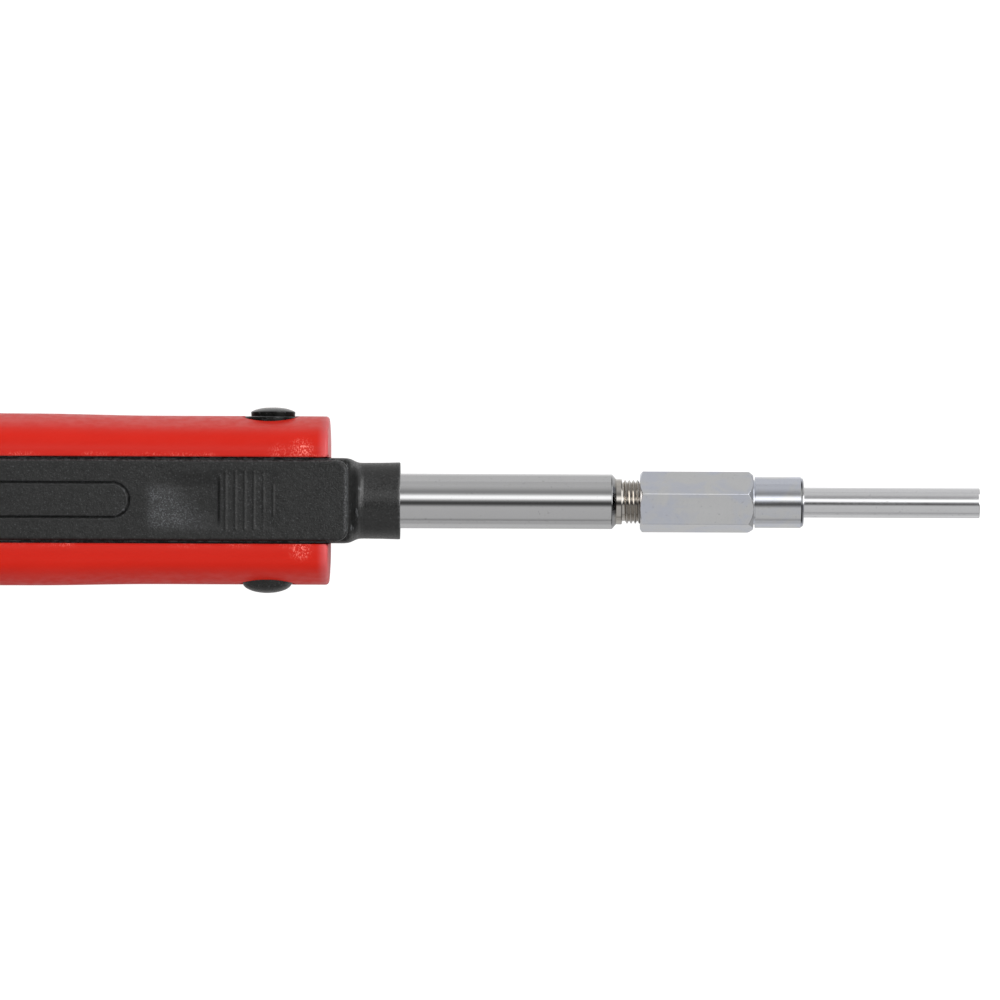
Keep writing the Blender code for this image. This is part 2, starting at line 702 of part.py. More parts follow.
def slide_screw():
    u = SLIDE_SCREW_U
    screw = turned("slide_screw", [
        (4.75, 0), (4.75, 1.3), (5.0, 1.8), (6.1, 1.8), (6.1, 1.0), (16.3, 1.0),
        (16.5, 0.7), (16.5, 0)], 12, "Z", (u, 0))
    cut(screw, block("slot", u - SCREW_SLOT_REACH, u + SCREW_SLOT_REACH,
                     -SCREW_SLOT_HALF, SCREW_SLOT_HALF, 4.2, 5.4))
    finish(screw, SPRING, "carriage", u, 0, 5)


def main_spring():
    spring = coil("main_spring", -56.28, -64.02, major=2.55, wire=0.3, turns=8, per_turn=12)
    finish(spring, SPRING, "carriage", -60)


crosshead()
rod_pin()
slide_screw()
main_spring()

# ---------------------------------------------------------------- carriage: thumb slide
DISH_U = -12.76
EDGE_R, EDGE_STEPS = 0.35, 3            # rounding of the slide's top edges
PANEL_FRONT, PANEL_REAR, PANEL_HALF = -21.57, -62.0, 1.88
PANEL_GROOVE_HALF = 0.18
CAP_STEPS = 8                           # of each half circle of the panel


def slide_section(inset):
    """(y, z) of the slide's cap, moved in by inset."""
    half, top = SLIDE_Y - inset - EDGE_R, SLIDE_TOP - inset - EDGE_R
    arc = [(EDGE_R * math.sin(t), EDGE_R * math.cos(t))
           for t in (k * math.pi / 2 / EDGE_STEPS for k in range(EDGE_STEPS + 1))]
    points = [(-SLIDE_Y + inset, SLIDE_BOTTOM + inset)]
    points += [(-half - rise, top + run) for run, rise in arc]
    points += [(half + run, top + rise) for run, rise in arc]
    points.append((SLIDE_Y - inset, SLIDE_BOTTOM + inset))
    return points


def panel_outline(grow):
    """(u, y) of the label panel, two half circles and two straights, grown by grow."""
    half = PANEL_HALF + grow
    ends = ((-math.pi / 2, PANEL_FRONT - PANEL_HALF), (math.pi / 2, PANEL_REAR + PANEL_HALF))
    return [(centre + half * math.cos(start + math.pi * k / CAP_STEPS),
             half * math.sin(start + math.pi * k / CAP_STEPS))
            for start, centre in ends for k in range(CAP_STEPS + 1)]


def panel_groove():
    low, high = SLIDE_TOP - 0.3, SLIDE_TOP + 0.5
    outer, inner = panel_outline(PANEL_GROOVE_HALF), panel_outline(-PANEL_GROOVE_HALF)
    rings = ((outer, low), (outer, high), (inner, high), (inner, low))
    return loft("groove", [[(u, y, z) for u, y in outline] for outline, z in rings], closed=True)


def thumb_slide():
    # (u, inset)
    stations = [(SLIDE_REAR, 0.3), (SLIDE_REAR + 0.3, 0), (SLIDE_FRONT - 0.5, 0),
                (SLIDE_FRONT - 0.15, 0.15), (SLIDE_FRONT, 0.45)]
    slide = loft("thumb_slide", [[(u, y, z) for y, z in slide_section(inset)]
                                 for u, inset in stations])
    add(slide, block("flange", SLIDE_REAR + 0.1, -1.95, -6.6, 6.6, SLIDE_BOTTOM - 0.01, 15.9))
    cut(slide, ellipsoid("dish", (DISH_U, 0, SLIDE_TOP + 1.2), (8.75, 4.0, 2.4)))
    # each rib crosses the dish and runs a little into its edges
    for u in RIB_US:
        reach = math.sqrt(1 - ((u - DISH_U) / 7.6) ** 2) * 3.45 + 0.25
        add(slide, block("rib", u - 0.22, u + 0.22, -reach, reach, 15.7, SLIDE_TOP - 0.12))
    cut(slide, panel_groove())
    cut(slide,
        block("latch_notch", -10.75, -9.15, -2.3, 2.3, 14.0, 15.35),
        block("neck_pocket", -71.0, -64.0, -1.6, 1.6, 14.0, 15.35),
        rod("screw_hole", 14.8, 16.7, 1.1, 12, "Z", (SLIDE_SCREW_U, 0)))
    finish(slide, BLACK, "carriage", -30, 0, 15.5)


thumb_slide()

# ---------------------------------------------------------------- latch and release buttons
DOME_Y, DOME_HEIGHT, DOME_STEPS = 9.15, 1.0, 4


def latch_leaf():
    """Spring leaf under the slide: held at the front, hooked up into the slide at the back."""
    # (u, z)
    path = [(-3.05, 12.55), (-4.95, 12.55), (-5.75, 13.5), (-10.4, 13.5), (-10.4, 14.1),
            (-9.7, 15.1), (-9.35, 15.1), (-9.35, 13.85), (-5.95, 13.85), (-5.15, 12.9),
            (-3.05, 12.9)]
    # (y, z)
    wing = [(1.6, 13.57), (1.6, 13.79), (1.98, 13.79), (3.2, 12.6), (2.95, 12.36), (1.96, 13.3)]
    leaf = prism("latch_leaf", [(u, -1.9, z) for u, z in path], (0, 3.8, 0))
    for side in (-1, 1):
        add(leaf, prism_x("wing", [(side * y, z) for y, z in wing], -7.7, -6.0))
    finish(leaf, SPRING, "tool", -4.0, 0, 12.7)


def button(side, sign):
    """Domed button with an arm whose sloping tip presses the latch leaf down."""
    angles = [k * math.pi / 2 / DOME_STEPS for k in reversed(range(DOME_STEPS))]
    profile = [(DOME_Y + DOME_HEIGHT, 0)]
    profile += [(DOME_Y + DOME_HEIGHT * math.sin(t), BUTTON_R * math.cos(t)) for t in angles]
    profile += [(7.28, BUTTON_R), (7.28, 3.3), (6.6, 3.3), (6.6, 1.85), (8.5, 1.85), (8.5, 0)]
    # (y, z)
    arm = [(7.0, 12.3), (7.0, 13.2), (5.5, 13.2), (5.5, 14.1), (3.0, 14.1), (3.0, 13.2),
           (3.9, 12.3)]
    body = turned("button_" + side, [(sign * y, r) for y, r in profile], 24, "Y",
                  (BUTTON_U, BUTTON_Z))
    add(body, prism_x("arm", [(sign * y, z) for y, z in arm], -7.9, -5.4))
    finish(body, BLACK, side + "_button_group", BUTTON_U, sign * 9.0, BUTTON_Z)


def button_spring(side, sign):
    spring = coil("button_spring_" + side, sign * 3.36, sign * 8.42, major=1.3, wire=0.2,
                  turns=4, per_turn=10, axis="Y", centre=(BUTTON_U, BUTTON_Z))
    finish(spring, SPRING, side + "_button_group", BUTTON_U, sign * 6.0, BUTTON_Z)


latch_leaf()
for button_side, button_sign in (("left", 1), ("right", -1)):
    button(button_side, button_sign)
    button_spring(button_side, button_sign)


# ---------------------------------------------------------------- nozzle, gland and clamp nut
def clamp_nut():
    turn = math.radians(45)
    flats = hexagon(NUT_FLATS, turn=turn)
    chamfered = hexagon(NUT_FLATS, limit=3.02, turn=turn)
    gap = 0.13                        # radial clearance from the stem's thread
    mouth_r = CREST_R + 2 * gap
    bore = NOZZLE_R + 0.1
    skin = Skin(24)
    # (u, radius), rear end round the outside and back through the bore to the thread
    body = skin.rings([
        (NUT_REAR, chamfered), (NUT_REAR + 0.3, flats), (NUT_HEX_END - 0.62, flats),
        (NUT_HEX_END, chamfered), (NUT_HEX_END, SLEEVE_R), (NUT_END - 0.45, SLEEVE_R),
        (NUT_END, 2.42), (NUT_END, bore), (45.2, bore), (44.4, 2.6), (38.6, 2.6),
        (38.3, ROOT_R + gap)])
    rear, mouth = skin.rings([(34.22, mouth_r), (NUT_REAR, mouth_r + 0.08)])
    # the same helix as the stem's, a whole number of turns along
    skin.thread(rear, body[-1], THREAD_U + 5 * PITCH, THREAD_TURNS - 4,
                root_r=ROOT_R + gap, crest_r=CREST_R + gap, first_r=mouth_r)
    skin.join(mouth, body[0])
    finish(skin.make("clamp_nut"), SATIN, "nut_group", NUT_REAR)


def nozzle_tube():
    nozzle = turned("nozzle_tube", [
        (37.0, 1.05), (37.0, 1.4), (38.65, 1.4), (38.65, 2.2), (39.6, 2.2), (39.6, NOZZLE_R),
        (TIP_U - 0.12, NOZZLE_R), (TIP_U, NOZZLE_R - 0.12), (TIP_U, NOZZLE_BORE_R),
        (40.0, NOZZLE_BORE_R)], 20)
    finish(nozzle, STEEL, "nozzle_group", 60)


def gland_ring():
    bore = NOZZLE_R + BORE_FIT
    gland = turned("gland_ring", [(39.7, bore), (39.7, 2.5), (44.3, 2.5), (45.0, 1.9),
                                  (45.0, bore)], 20)
    finish(gland, PTFE, "nozzle_group", 42)


clamp_nut()
nozzle_tube()
gland_ring()


# ---------------------------------------------------------------- end cap
def cap_section(u, inset):
    """The handle's whole outline, shrunk about its middle by inset."""
    half_width, middle = width(u), THICKNESS / 2
    half = outline_half(half_width)
    full = [(0.0, 0.0)] + half + [(0.0, THICKNESS)] + [(-y, z) for y, z in reversed(half)]
    scale_y, scale_z = 1 - inset / half_width, 1 - 2 * inset / THICKNESS
    return [(u, y * scale_y, middle + (z - middle) * scale_z) for y, z in full]


def end_cap():
    # (u, inset)
    stations = [(-102.6, 0.35), (-102.85, 0.0), (-103.6, 0.1), (-104.5, 0.6), (-105.2, 1.4),
                (END_U, 2.4)]
    # +Y halves, (y, z)
    plug = [(4.9, 2.1), (6.6, 3.8), (7.0, 6.3), (7.1, 9.0), (7.0, 13.6), (6.5, 13.9),
            (6.5, 15.9), (4.55, 15.9), (4.55, 17.2)]
    core = [(4.0, 2.9), (6.2, 5.1), (6.2, 12.5), (4.0, 13.0), (4.4, 16.5)]
    cap = loft("end_cap", [cap_section(u, inset) for u, inset in stations])
    add(cap, prism_x("plug", mirrored(plug), -102.9, -99.6))
    # groove that the shells' inner rib sits in
    groove = block("groove", -101.45, -100.25, -12, 12, -2, 16.0)
    cut(groove, prism_x("core", mirrored(core), -102.0, -99.9))
    cut(cap, groove)
    cut(cap, rod("vent", -98, -107, 1.0, 16))
    finish(cap, BLACK, "tool", -103, 0, 8.8)


end_cap()
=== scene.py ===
"""A hand tool with a red two-part handle, a steel stem with a clamp nut and nozzle, a black thumb
slide, a vacuum cylinder inside and a release button on each side.

It lies along X with its nozzle towards +X, its left side towards +Y and its slide on top (+Z).
Shapes are drawn in mm. u is the place along X, measured from the front of the red handle.
"""
import math

import bmesh
import bpy
from mathutils import Matrix, Vector


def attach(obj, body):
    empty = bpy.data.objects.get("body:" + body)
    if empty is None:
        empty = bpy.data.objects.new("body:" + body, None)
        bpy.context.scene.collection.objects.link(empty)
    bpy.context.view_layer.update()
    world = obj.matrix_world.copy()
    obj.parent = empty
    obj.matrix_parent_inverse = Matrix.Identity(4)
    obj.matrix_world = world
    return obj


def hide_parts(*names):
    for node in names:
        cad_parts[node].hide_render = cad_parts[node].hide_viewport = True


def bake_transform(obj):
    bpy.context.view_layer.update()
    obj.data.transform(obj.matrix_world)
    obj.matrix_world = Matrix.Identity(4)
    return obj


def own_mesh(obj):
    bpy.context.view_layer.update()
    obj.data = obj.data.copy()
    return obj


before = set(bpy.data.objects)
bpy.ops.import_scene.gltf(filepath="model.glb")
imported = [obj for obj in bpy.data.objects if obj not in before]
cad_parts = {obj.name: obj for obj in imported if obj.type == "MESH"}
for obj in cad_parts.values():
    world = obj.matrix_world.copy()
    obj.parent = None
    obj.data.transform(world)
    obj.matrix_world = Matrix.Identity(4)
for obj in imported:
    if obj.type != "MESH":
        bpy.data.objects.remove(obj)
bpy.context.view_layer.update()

# ---------------------------------------------------------------- driving dimensions, mm
TIP_U, END_U = 71.1, -105.5
SHIFT = -(TIP_U + END_U) / 2    # moves u so that the tool's middle is at the origin
AXIS_Z = 8.1                    # height of the stem, cylinder and nozzle axis
HEIGHT = 17.6                   # of the handle
LIP_Y = 4.71                    # half width of the thumb slot's mouth
SHELL_END = -102.5
SPLIT = 0.012                   # from the middle plane to each shell's joint face
STEM_R, STEM_TAIL_R, STEM_BORE_R = 3.0, 2.5, 1.9
NECK_R, CREST_R, ROOT_R = 2.5, 2.40, 2.10
PITCH, THREAD_X0, THREAD_TURNS = 0.45, 32.1, 8
NUT_U0, NUT_HEX_END, NUT_END = 33.97, 46.33, 51.84
NUT_AF, SLEEVE_R = 6.0, 2.8     # nut across flats, sleeve in front of its hexagon
NOZZLE_R, NOZZLE_BORE_R = 1.65, 1.1
BUTTON_US, BUTTON_Z, BUTTON_R = {"left": -6.50, "right": -6.70}, 10.2, 2.75
SLIDE_FRONT, SLIDE_REAR, SLIDE_Y, SLIDE_TOP = 2.14, -71.6, 4.4, 17.4
SLIDE_CORNER_R, SLIDE_EDGE_R = 1.25, 0.36
TUBE_R, TUBE_BORE_R = 5.7, 5.1
SCREW_US, SCREW_Z = {"front": -8.2, "middle": -60.6, "rear": -82.0}, 2.5
ROD_PIN_AT = (-65.3, AXIS_Z)    # u, z
SLIDE_SCREW_AT = (-69.0, 0)     # u, y
SIDES = (("left", 1), ("right", -1))    # name, sign of y


def metres(u):
    """A place along the tool (mm) as X in metres."""
    return (u + SHIFT) / 1000


# ================================================================ shader helpers
class Nodes:
    """Short hand for building a node tree."""

    def __init__(self, tree):
        self.tree = tree

    def new(self, kind, **values):
        node = self.tree.nodes.new(kind)
        for key, value in values.items():
            setattr(node, key, value)
        return node

    def link(self, source, target):
        self.tree.links.new(source, target)

    def put(self, socket, value):
        """Link a socket, or set a plain value."""
        if isinstance(value, bpy.types.NodeSocket):
            self.link(value, socket)
        else:
            socket.default_value = value

    def math(self, operation, *operands, clamp=False):
        node = self.new("ShaderNodeMath", operation=operation, use_clamp=clamp)
        for socket, value in zip(node.inputs, operands):
            self.put(socket, value)
        return node.outputs[0]

    def product(self, first, *others):
        for other in others:
            first = self.math("MULTIPLY", first, other)
        return first

    def ease(self, value, between, to=(0.0, 1.0)):
        """Smooth step of the value between two limits, mapped to the given pair."""
        node = self.new("ShaderNodeMapRange", interpolation_type="SMOOTHSTEP")
        names = ("Value", "From Min", "From Max", "To Min", "To Max")
        for name, setting in zip(names, (value, *between, *to)):
            self.put(node.inputs[name], setting)
        return node.outputs[0]

    def noise(self, point, scale, detail=2, roughness=0.5, distortion=0.0):
        node = self.new("ShaderNodeTexNoise")
        self.link(point, node.inputs["Vector"])
        node.inputs["Scale"].default_value = scale
        node.inputs["Detail"].default_value = detail
        node.inputs["Roughness"].default_value = roughness
        node.inputs["Distortion"].default_value = distortion
        return node.outputs["Fac"]

    def stretch(self, point, scale):
        node = self.new("ShaderNodeMapping")
        self.link(point, node.inputs["Vector"])
        node.inputs["Scale"].default_value = scale
        return node.outputs[0]

    def split(self, vector):
        node = self.new("ShaderNodeSeparateXYZ")
        self.link(vector, node.inputs[0])
        return node.outputs

    def geometry(self, name):
        return self.new("ShaderNodeNewGeometry").outputs[name]

    def mix(self, factor, first, second):
        node = self.new("ShaderNodeMix", data_type="RGBA")
        self.put(node.inputs[0], factor)
        for socket, colour in ((node.inputs[6], first), (node.inputs[7], second)):
            self.put(socket, (*colour, 1) if isinstance(colour, tuple) else colour)
        return node.outputs[2]

    def bump(self, height, strength, distance, normal=None):
        node = self.new("ShaderNodeBump")
        node.inputs["Strength"].default_value = strength
        node.inputs["Distance"].default_value = distance
        self.link(height, node.inputs["Height"])
        if normal is not None:
            self.link(normal, node.inputs["Normal"])
        return node.outputs[0]


def new_material(name, roughness, metallic):
    """A material, its nodes, its shader's inputs and the object coordinates in metres."""
    mat = bpy.data.materials.new(name)
    mat.use_nodes = True
    nodes = Nodes(mat.node_tree)
    shader = mat.node_tree.nodes["Principled BSDF"].inputs
    shader["Roughness"].default_value = roughness
    shader["Metallic"].default_value = metallic
    return mat, nodes, shader, nodes.new("ShaderNodeTexCoord").outputs["Object"]


def scaled(colour, factor):
    return tuple(c * factor for c in colour)


def u_from_x(nodes, x):
    return nodes.math("SUBTRACT", nodes.math("MULTIPLY", x, 1000.0), SHIFT)


def spot(nodes, axes, centre, radius):
    """1 at a point (u, y, z in mm), falling to 0 at the radius."""
    u, y, z = centre
    total = None
    for value, place_on_axis in zip(axes, (metres(u), y / 1000, z / 1000)):
        square = nodes.math("POWER", nodes.math("SUBTRACT", value, place_on_axis), 2.0)
        total = square if total is None else nodes.math("ADD", total, square)
    return nodes.ease(nodes.math("SQRT", total), between=(0.0, radius / 1000), to=(1.0, 0.0))


# ================================================================ materials
def red_plastic():
    mat, nodes, shader, point = new_material("moulded_red", roughness=0.36, metallic=0)
    x, y, z = axes = nodes.split(point)
    cloud = nodes.noise(point, scale=160, detail=3)
    base = nodes.mix(cloud, (0.430, 0.0106, 0.0043), (0.480, 0.0142, 0.0068))
    # a little darker along the mouth of the thumb slot
    mouth = nodes.product(
        nodes.ease(nodes.math("ABSOLUTE", y), between=(0.0052, 0.0075), to=(1.0, 0.0)),
        nodes.ease(z, between=(0.0160, 0.0172)))
    base = nodes.mix(mouth, base, (0.370, 0.0130, 0.0078))
    # painted highlight: the last millimetre before the front edge is painted paler
    front_edge_highlight = nodes.product(
        nodes.ease(x, between=(metres(-1.30), metres(-0.02))),
        nodes.ease(x, between=(metres(-0.12), metres(0.12)), to=(1.0, 0.25)))
    base = nodes.mix(front_edge_highlight, base, (0.440, 0.074, 0.077))
    # fine flecks of handling, thickest near the mouth of the thumb slot
    grain = nodes.noise(nodes.stretch(point, scale=(1.0, 0.6, 1.0)),
                        scale=6400, detail=3, roughness=0.7)
    fleck = nodes.ease(grain, between=(0.47, 0.66))
    lip = nodes.product(
        nodes.ease(nodes.math("ABSOLUTE", y), between=(0.00475, 0.0054), to=(1.0, 0.0)),
        nodes.ease(z, between=(0.0170, 0.0175)),
        nodes.ease(nodes.noise(point, scale=260), between=(0.40, 0.75)))
    # three worn spots at the front of the lip, the last one weaker
    front = nodes.math("MAXIMUM",
                       spot(nodes, axes, centre=(-2.9, 5.5, 17.6), radius=1.75),
                       spot(nodes, axes, centre=(-2.95, -5.35, 17.6), radius=1.6))
    weak_spot = spot(nodes, axes, centre=(-5.3, 4.95, 17.6), radius=1.6)
    front = nodes.math("MAXIMUM", front, nodes.product(weak_spot, 0.42))
    worn = nodes.math("MAXIMUM", nodes.product(lip, 0.55), front)
    worn = nodes.math("MULTIPLY", worn, fleck, clamp=True)
    nodes.put(shader["Base Color"], nodes.mix(worn, base, (0.80, 0.20, 0.165)))
    roughness = nodes.ease(nodes.noise(point, scale=900, detail=3),
                           between=(0.3, 0.7), to=(0.30, 0.42))
    nodes.put(shader["Roughness"], nodes.math("ADD", roughness, nodes.product(worn, 0.2)))
    soft = nodes.bump(nodes.noise(point, scale=420, roughness=0.4),
                      strength=0.10, distance=0.00006)
    fine = nodes.noise(point, scale=5200, roughness=0.6)
    nodes.put(shader["Normal"], nodes.bump(fine, strength=0.10, distance=0.00002, normal=soft))
    # painted sheen: the specular strength rises from the -Y side to the +Y side, the side the
    # light comes from
    nodes.put(shader["Specular IOR Level"],
              nodes.ease(y, between=(-0.0070, 0.0030), to=(0.075, 0.13)))
    nodes.put(shader["Subsurface Weight"], 0.06)
    nodes.put(shader["Subsurface Radius"], (0.0012, 0.0003, 0.0002))
    nodes.put(shader["Subsurface Scale"], 1.0)
    return mat


def thumb_painted_highlight(nodes, point, base):
    """Speckled, greyer painted highlights: on the rear of the thumb dish and on the slide's nose.
    """
    x, y, z = nodes.split(point)
    u = u_from_x(nodes, x)
    y = nodes.math("MULTIPLY", y, 1000.0)
    # the patch's front edge is slanted across the slide
    slant = nodes.math("ADD", u, nodes.product(y, 0.8))
    off_middle = nodes.math("ABSOLUTE", nodes.math("ADD", y, 0.8))
    # painted highlight on the rear slope of the thumb dish, where it faces the light
    patch = nodes.product(
        nodes.ease(u, between=(-20.0, -18.9)),
        nodes.ease(slant, between=(-18.4, -13.4), to=(1.0, 0.0)),
        nodes.ease(off_middle, between=(1.5, 2.9), to=(1.0, 0.0)),
        nodes.ease(z, between=(0.0160, 0.0166)))
    dots = nodes.ease(nodes.noise(point, scale=5400, roughness=0.65),
                      between=(0.50, 0.64), to=(0.14, 1.0))
    base = nodes.mix(nodes.product(patch, dots, 0.56), base, (0.080, 0.083, 0.090))
    # painted highlight along the slide's rounded nose
    nose = nodes.product(
        nodes.ease(u, between=(1.60, 1.80)),
        nodes.ease(nodes.math("ABSOLUTE", y), between=(3.0, 3.8), to=(1.0, 0.0)))
    return nodes.mix(nodes.product(nose, dots, 0.60), base, (0.082, 0.085, 0.090))


def collar_gloss(nodes, point, gloss):
    """Matt behind the front housing's round collar."""
    return nodes.ease(nodes.split(point)[0], between=(metres(2.75), metres(3.3)),
                      to=(gloss * 0.3, gloss))


def wall_gloss(nodes, point, gloss):
    """Matt on the wall round a button's domed face."""
    normal_y = nodes.split(nodes.geometry("Normal"))[1]
    return nodes.ease(nodes.math("ABSOLUTE", normal_y), between=(0.25, 0.70), to=(0.04, gloss))


def black_plastic(name, dark, light, roughness, grain, depth, gloss, fleck,
                  rub_and_sheen=0.0, painted_highlight=None, gloss_map=None):
    """Moulded black with a grain of dense fine bumps, and a few lighter specks painted on as
    glints.

    grain is the noise scale and depth the bump distance in metres; fleck and rub are the
    strengths of the light specks, which are painted glints, and of the lighter rubbed edges, which
    are wear and painted highlight."""
    mat, nodes, shader, point = new_material(name, roughness, metallic=0)
    fine = nodes.noise(point, scale=grain, detail=4, roughness=0.66)
    coarse = nodes.noise(point, scale=grain * 0.36, detail=3, roughness=0.6)
    # light specks on the grain: painted glints
    glint_speck = nodes.ease(nodes.noise(point, scale=grain * 0.95, roughness=0.6),
                       between=(0.56, 0.74))
    # raised edges get a lighter, broken line: rubbed wear, and a painted edge highlight as well
    worn = nodes.product(
        nodes.ease(nodes.geometry("Pointiness"), between=(0.515, 0.575)),
        nodes.ease(nodes.noise(point, scale=grain * 0.5, roughness=0.6),
                   between=(0.40, 0.62), to=(0.15, 1.0)))
    base = nodes.mix(nodes.noise(point, scale=210, detail=3), dark, light)
    both_grains = nodes.math("ADD", nodes.product(fine, 0.6), nodes.product(coarse, 0.4))
    tone = nodes.ease(both_grains, between=(0.34, 0.66))
    base = nodes.mix(tone, scaled(dark, 0.50), base)
    base = nodes.mix(nodes.product(glint_speck, fleck), base, (0.080, 0.082, 0.086))
    base = nodes.mix(nodes.product(worn, rub_and_sheen), base, (0.085, 0.088, 0.092))
    # painted highlights laid onto the base colour
    if painted_highlight:
        base = painted_highlight(nodes, point, base)
    nodes.put(shader["Base Color"], base)
    nodes.put(shader["Roughness"],
              nodes.ease(fine, between=(0.3, 0.7), to=(roughness - 0.08, roughness + 0.10)))
    if gloss_map:
        gloss = gloss_map(nodes, point, gloss)
    nodes.put(shader["Specular IOR Level"], gloss)
    relief = nodes.bump(nodes.noise(point, scale=500), strength=0.12, distance=0.00005)
    relief = nodes.bump(coarse, strength=0.5, distance=depth * 1.6, normal=relief)
    relief = nodes.bump(fine, strength=0.85, distance=depth, normal=relief)
    nodes.put(shader["Normal"], relief)
    return mat


def steel(name, base, roughness, lines, strength, wave=0.0, tarnish=None, plate=None, ends=None):
    """Bright metal turned about X: fine rings round the axis and faint clouding.

    roughness is a (low, high) pair, lines the density of the rings, strength their relief,
    wave the strength of a slow waviness, tarnish the (start, end) u over which an oily film
    comes in, plate the colour of the plating patches, and ends the (from u, to u, amount) of
    the painted shade on the turned ends."""
    mat, nodes, shader, point = new_material(name, sum(roughness) / 2, metallic=1)
    rings = nodes.noise(nodes.stretch(point, scale=(lines, 90, 90)),
                        scale=1.0, detail=3, roughness=0.6)
    marks = nodes.noise(nodes.stretch(point, scale=(60, 1500, 1500)),
                        scale=1.0, detail=3, roughness=0.55)
    cloud = nodes.noise(point, scale=240, detail=3, roughness=0.55)
    colour = nodes.mix(cloud, scaled(base, 0.93), base)
    if plate:
        # plating of uneven thickness
        patch = nodes.noise(nodes.stretch(point, scale=(0.7, 1.0, 1.0)),
                            scale=380, detail=3, roughness=0.55, distortion=0.6)
        patch = nodes.ease(patch, between=(0.42, 0.66))
        colour = nodes.mix(nodes.product(patch, 0.75), colour, plate)
    if tarnish:
        # the cut thread keeps a brownish film of old oil
        start, end = tarnish
        zone = nodes.ease(nodes.split(point)[0], between=(metres(start), metres(end)))
        film = nodes.ease(nodes.noise(point, scale=1500, detail=3, roughness=0.6),
                          between=(0.25, 0.7), to=(0.75, 1.0))
        brown = (base[0] * 0.84, base[1] * 0.79, base[2] * 0.72)
        colour = nodes.mix(nodes.product(zone, film), colour, brown)
    # small pits; and painted shade: chamfers and ends that face +X get their base colour mixed
    # towards near black
    pit = nodes.ease(nodes.noise(point, scale=2900, roughness=0.6), between=(0.64, 0.74))
    colour = nodes.mix(nodes.product(pit, 0.35), colour, scaled(base, 0.55))
    normal_x, _, normal_z = nodes.split(nodes.geometry("Normal"))
    painted_facing_shade = nodes.ease(normal_x, between=(0.10, 0.34), to=(0.0, 0.45))
    if ends:
        start, end, amount = ends
        u = u_from_x(nodes, nodes.split(point)[0])
        span = nodes.product(
            nodes.ease(u, between=(start, start + 0.1)),
            nodes.ease(u, between=(end - 0.1, end), to=(1.0, 0.0)))
        painted_end_shade = nodes.product(
            nodes.ease(normal_x, between=(0.02, 0.12), to=(0.0, amount)),
            nodes.ease(normal_z, between=(0.34, 0.66)))
        if tarnish:
            # the step just behind the thread gets the painted shade as well; on the cut thread the
            # painted shade is weaker
            step = nodes.product(
                nodes.ease(u, between=(31.78, 31.84)),
                nodes.ease(u, between=(32.03, 32.08), to=(1.0, 0.0)))
            span = nodes.math("MAXIMUM", span, step)
            painted_facing_shade = nodes.product(painted_facing_shade, nodes.ease(u, between=(31.55, 31.65), to=(1.0, 0.40)))
        painted_facing_shade = nodes.math("MAXIMUM", painted_facing_shade, nodes.product(painted_end_shade, span))
    # painted shade: the base colour goes towards near black under the shade masks
    nodes.put(shader["Base Color"], nodes.mix(painted_facing_shade, colour, (0.030, 0.030, 0.030)))
    finish = nodes.math("ADD", nodes.product(rings, 0.5), nodes.product(marks, 0.5))
    nodes.put(shader["Roughness"], nodes.ease(finish, between=(0.3, 0.7), to=roughness))
    relief = nodes.bump(nodes.math("ADD", rings, nodes.product(marks, 0.6)),
                        strength=strength, distance=0.000004)
    if wave:
        relief = nodes.bump(nodes.noise(point, scale=260),
                            strength=wave, distance=0.00003, normal=relief)
    nodes.put(shader["Normal"], relief)
    return mat


def clouded(name, base, roughness, metallic, shade, cloud, gloss_grain, bump_grain, depth):
    """An even surface: its colour drifts to a darker shade, its gloss varies a little.

    cloud, gloss_grain and bump_grain are noise scales, depth is the bump distance in metres."""
    mat, nodes, shader, point = new_material(name, roughness[0], metallic)
    drift = nodes.noise(point, scale=cloud, detail=3)
    nodes.put(shader["Base Color"], nodes.mix(drift, scaled(base, shade), base))
    gloss = nodes.noise(point, scale=gloss_grain, detail=3, roughness=0.6)
    nodes.put(shader["Roughness"], nodes.ease(gloss, between=(0.3, 0.7), to=roughness))
    grain = nodes.noise(point, scale=bump_grain, roughness=0.6)
    nodes.put(shader["Normal"], nodes.bump(grain, strength=0.2, distance=depth))
    return mat


PLAIN_METAL = dict(metallic=1, shade=0.85, cloud=300, gloss_grain=2400, bump_grain=3000,
                   depth=0.00001)
SOFT = dict(metallic=0, shade=0.88, cloud=350, gloss_grain=1800, bump_grain=3600, depth=0.00002)
BUTTON_TONES = dict(dark=(0.0060, 0.0062, 0.0058), light=(0.0090, 0.0092, 0.0086))
TURNED = dict(roughness=(0.2, 0.34), lines=5000, strength=0.4)

RED = red_plastic()
GRAINED = black_plastic(
    "grained_black", dark=(0.0082, 0.0085, 0.0084), light=(0.0128, 0.0133, 0.0131),
    roughness=0.40, grain=5200, depth=0.000070, gloss=0.28, fleck=0.34, rub_and_sheen=0.5, painted_highlight=thumb_painted_highlight)
SMOOTH_BLACK = black_plastic(
    "smooth_black", dark=(0.0075, 0.0078, 0.0077), light=(0.0106, 0.0110, 0.0109),
    roughness=0.36, grain=4200, depth=0.000030, gloss=0.52, fleck=0.20, rub_and_sheen=0.6,
    gloss_map=collar_gloss)
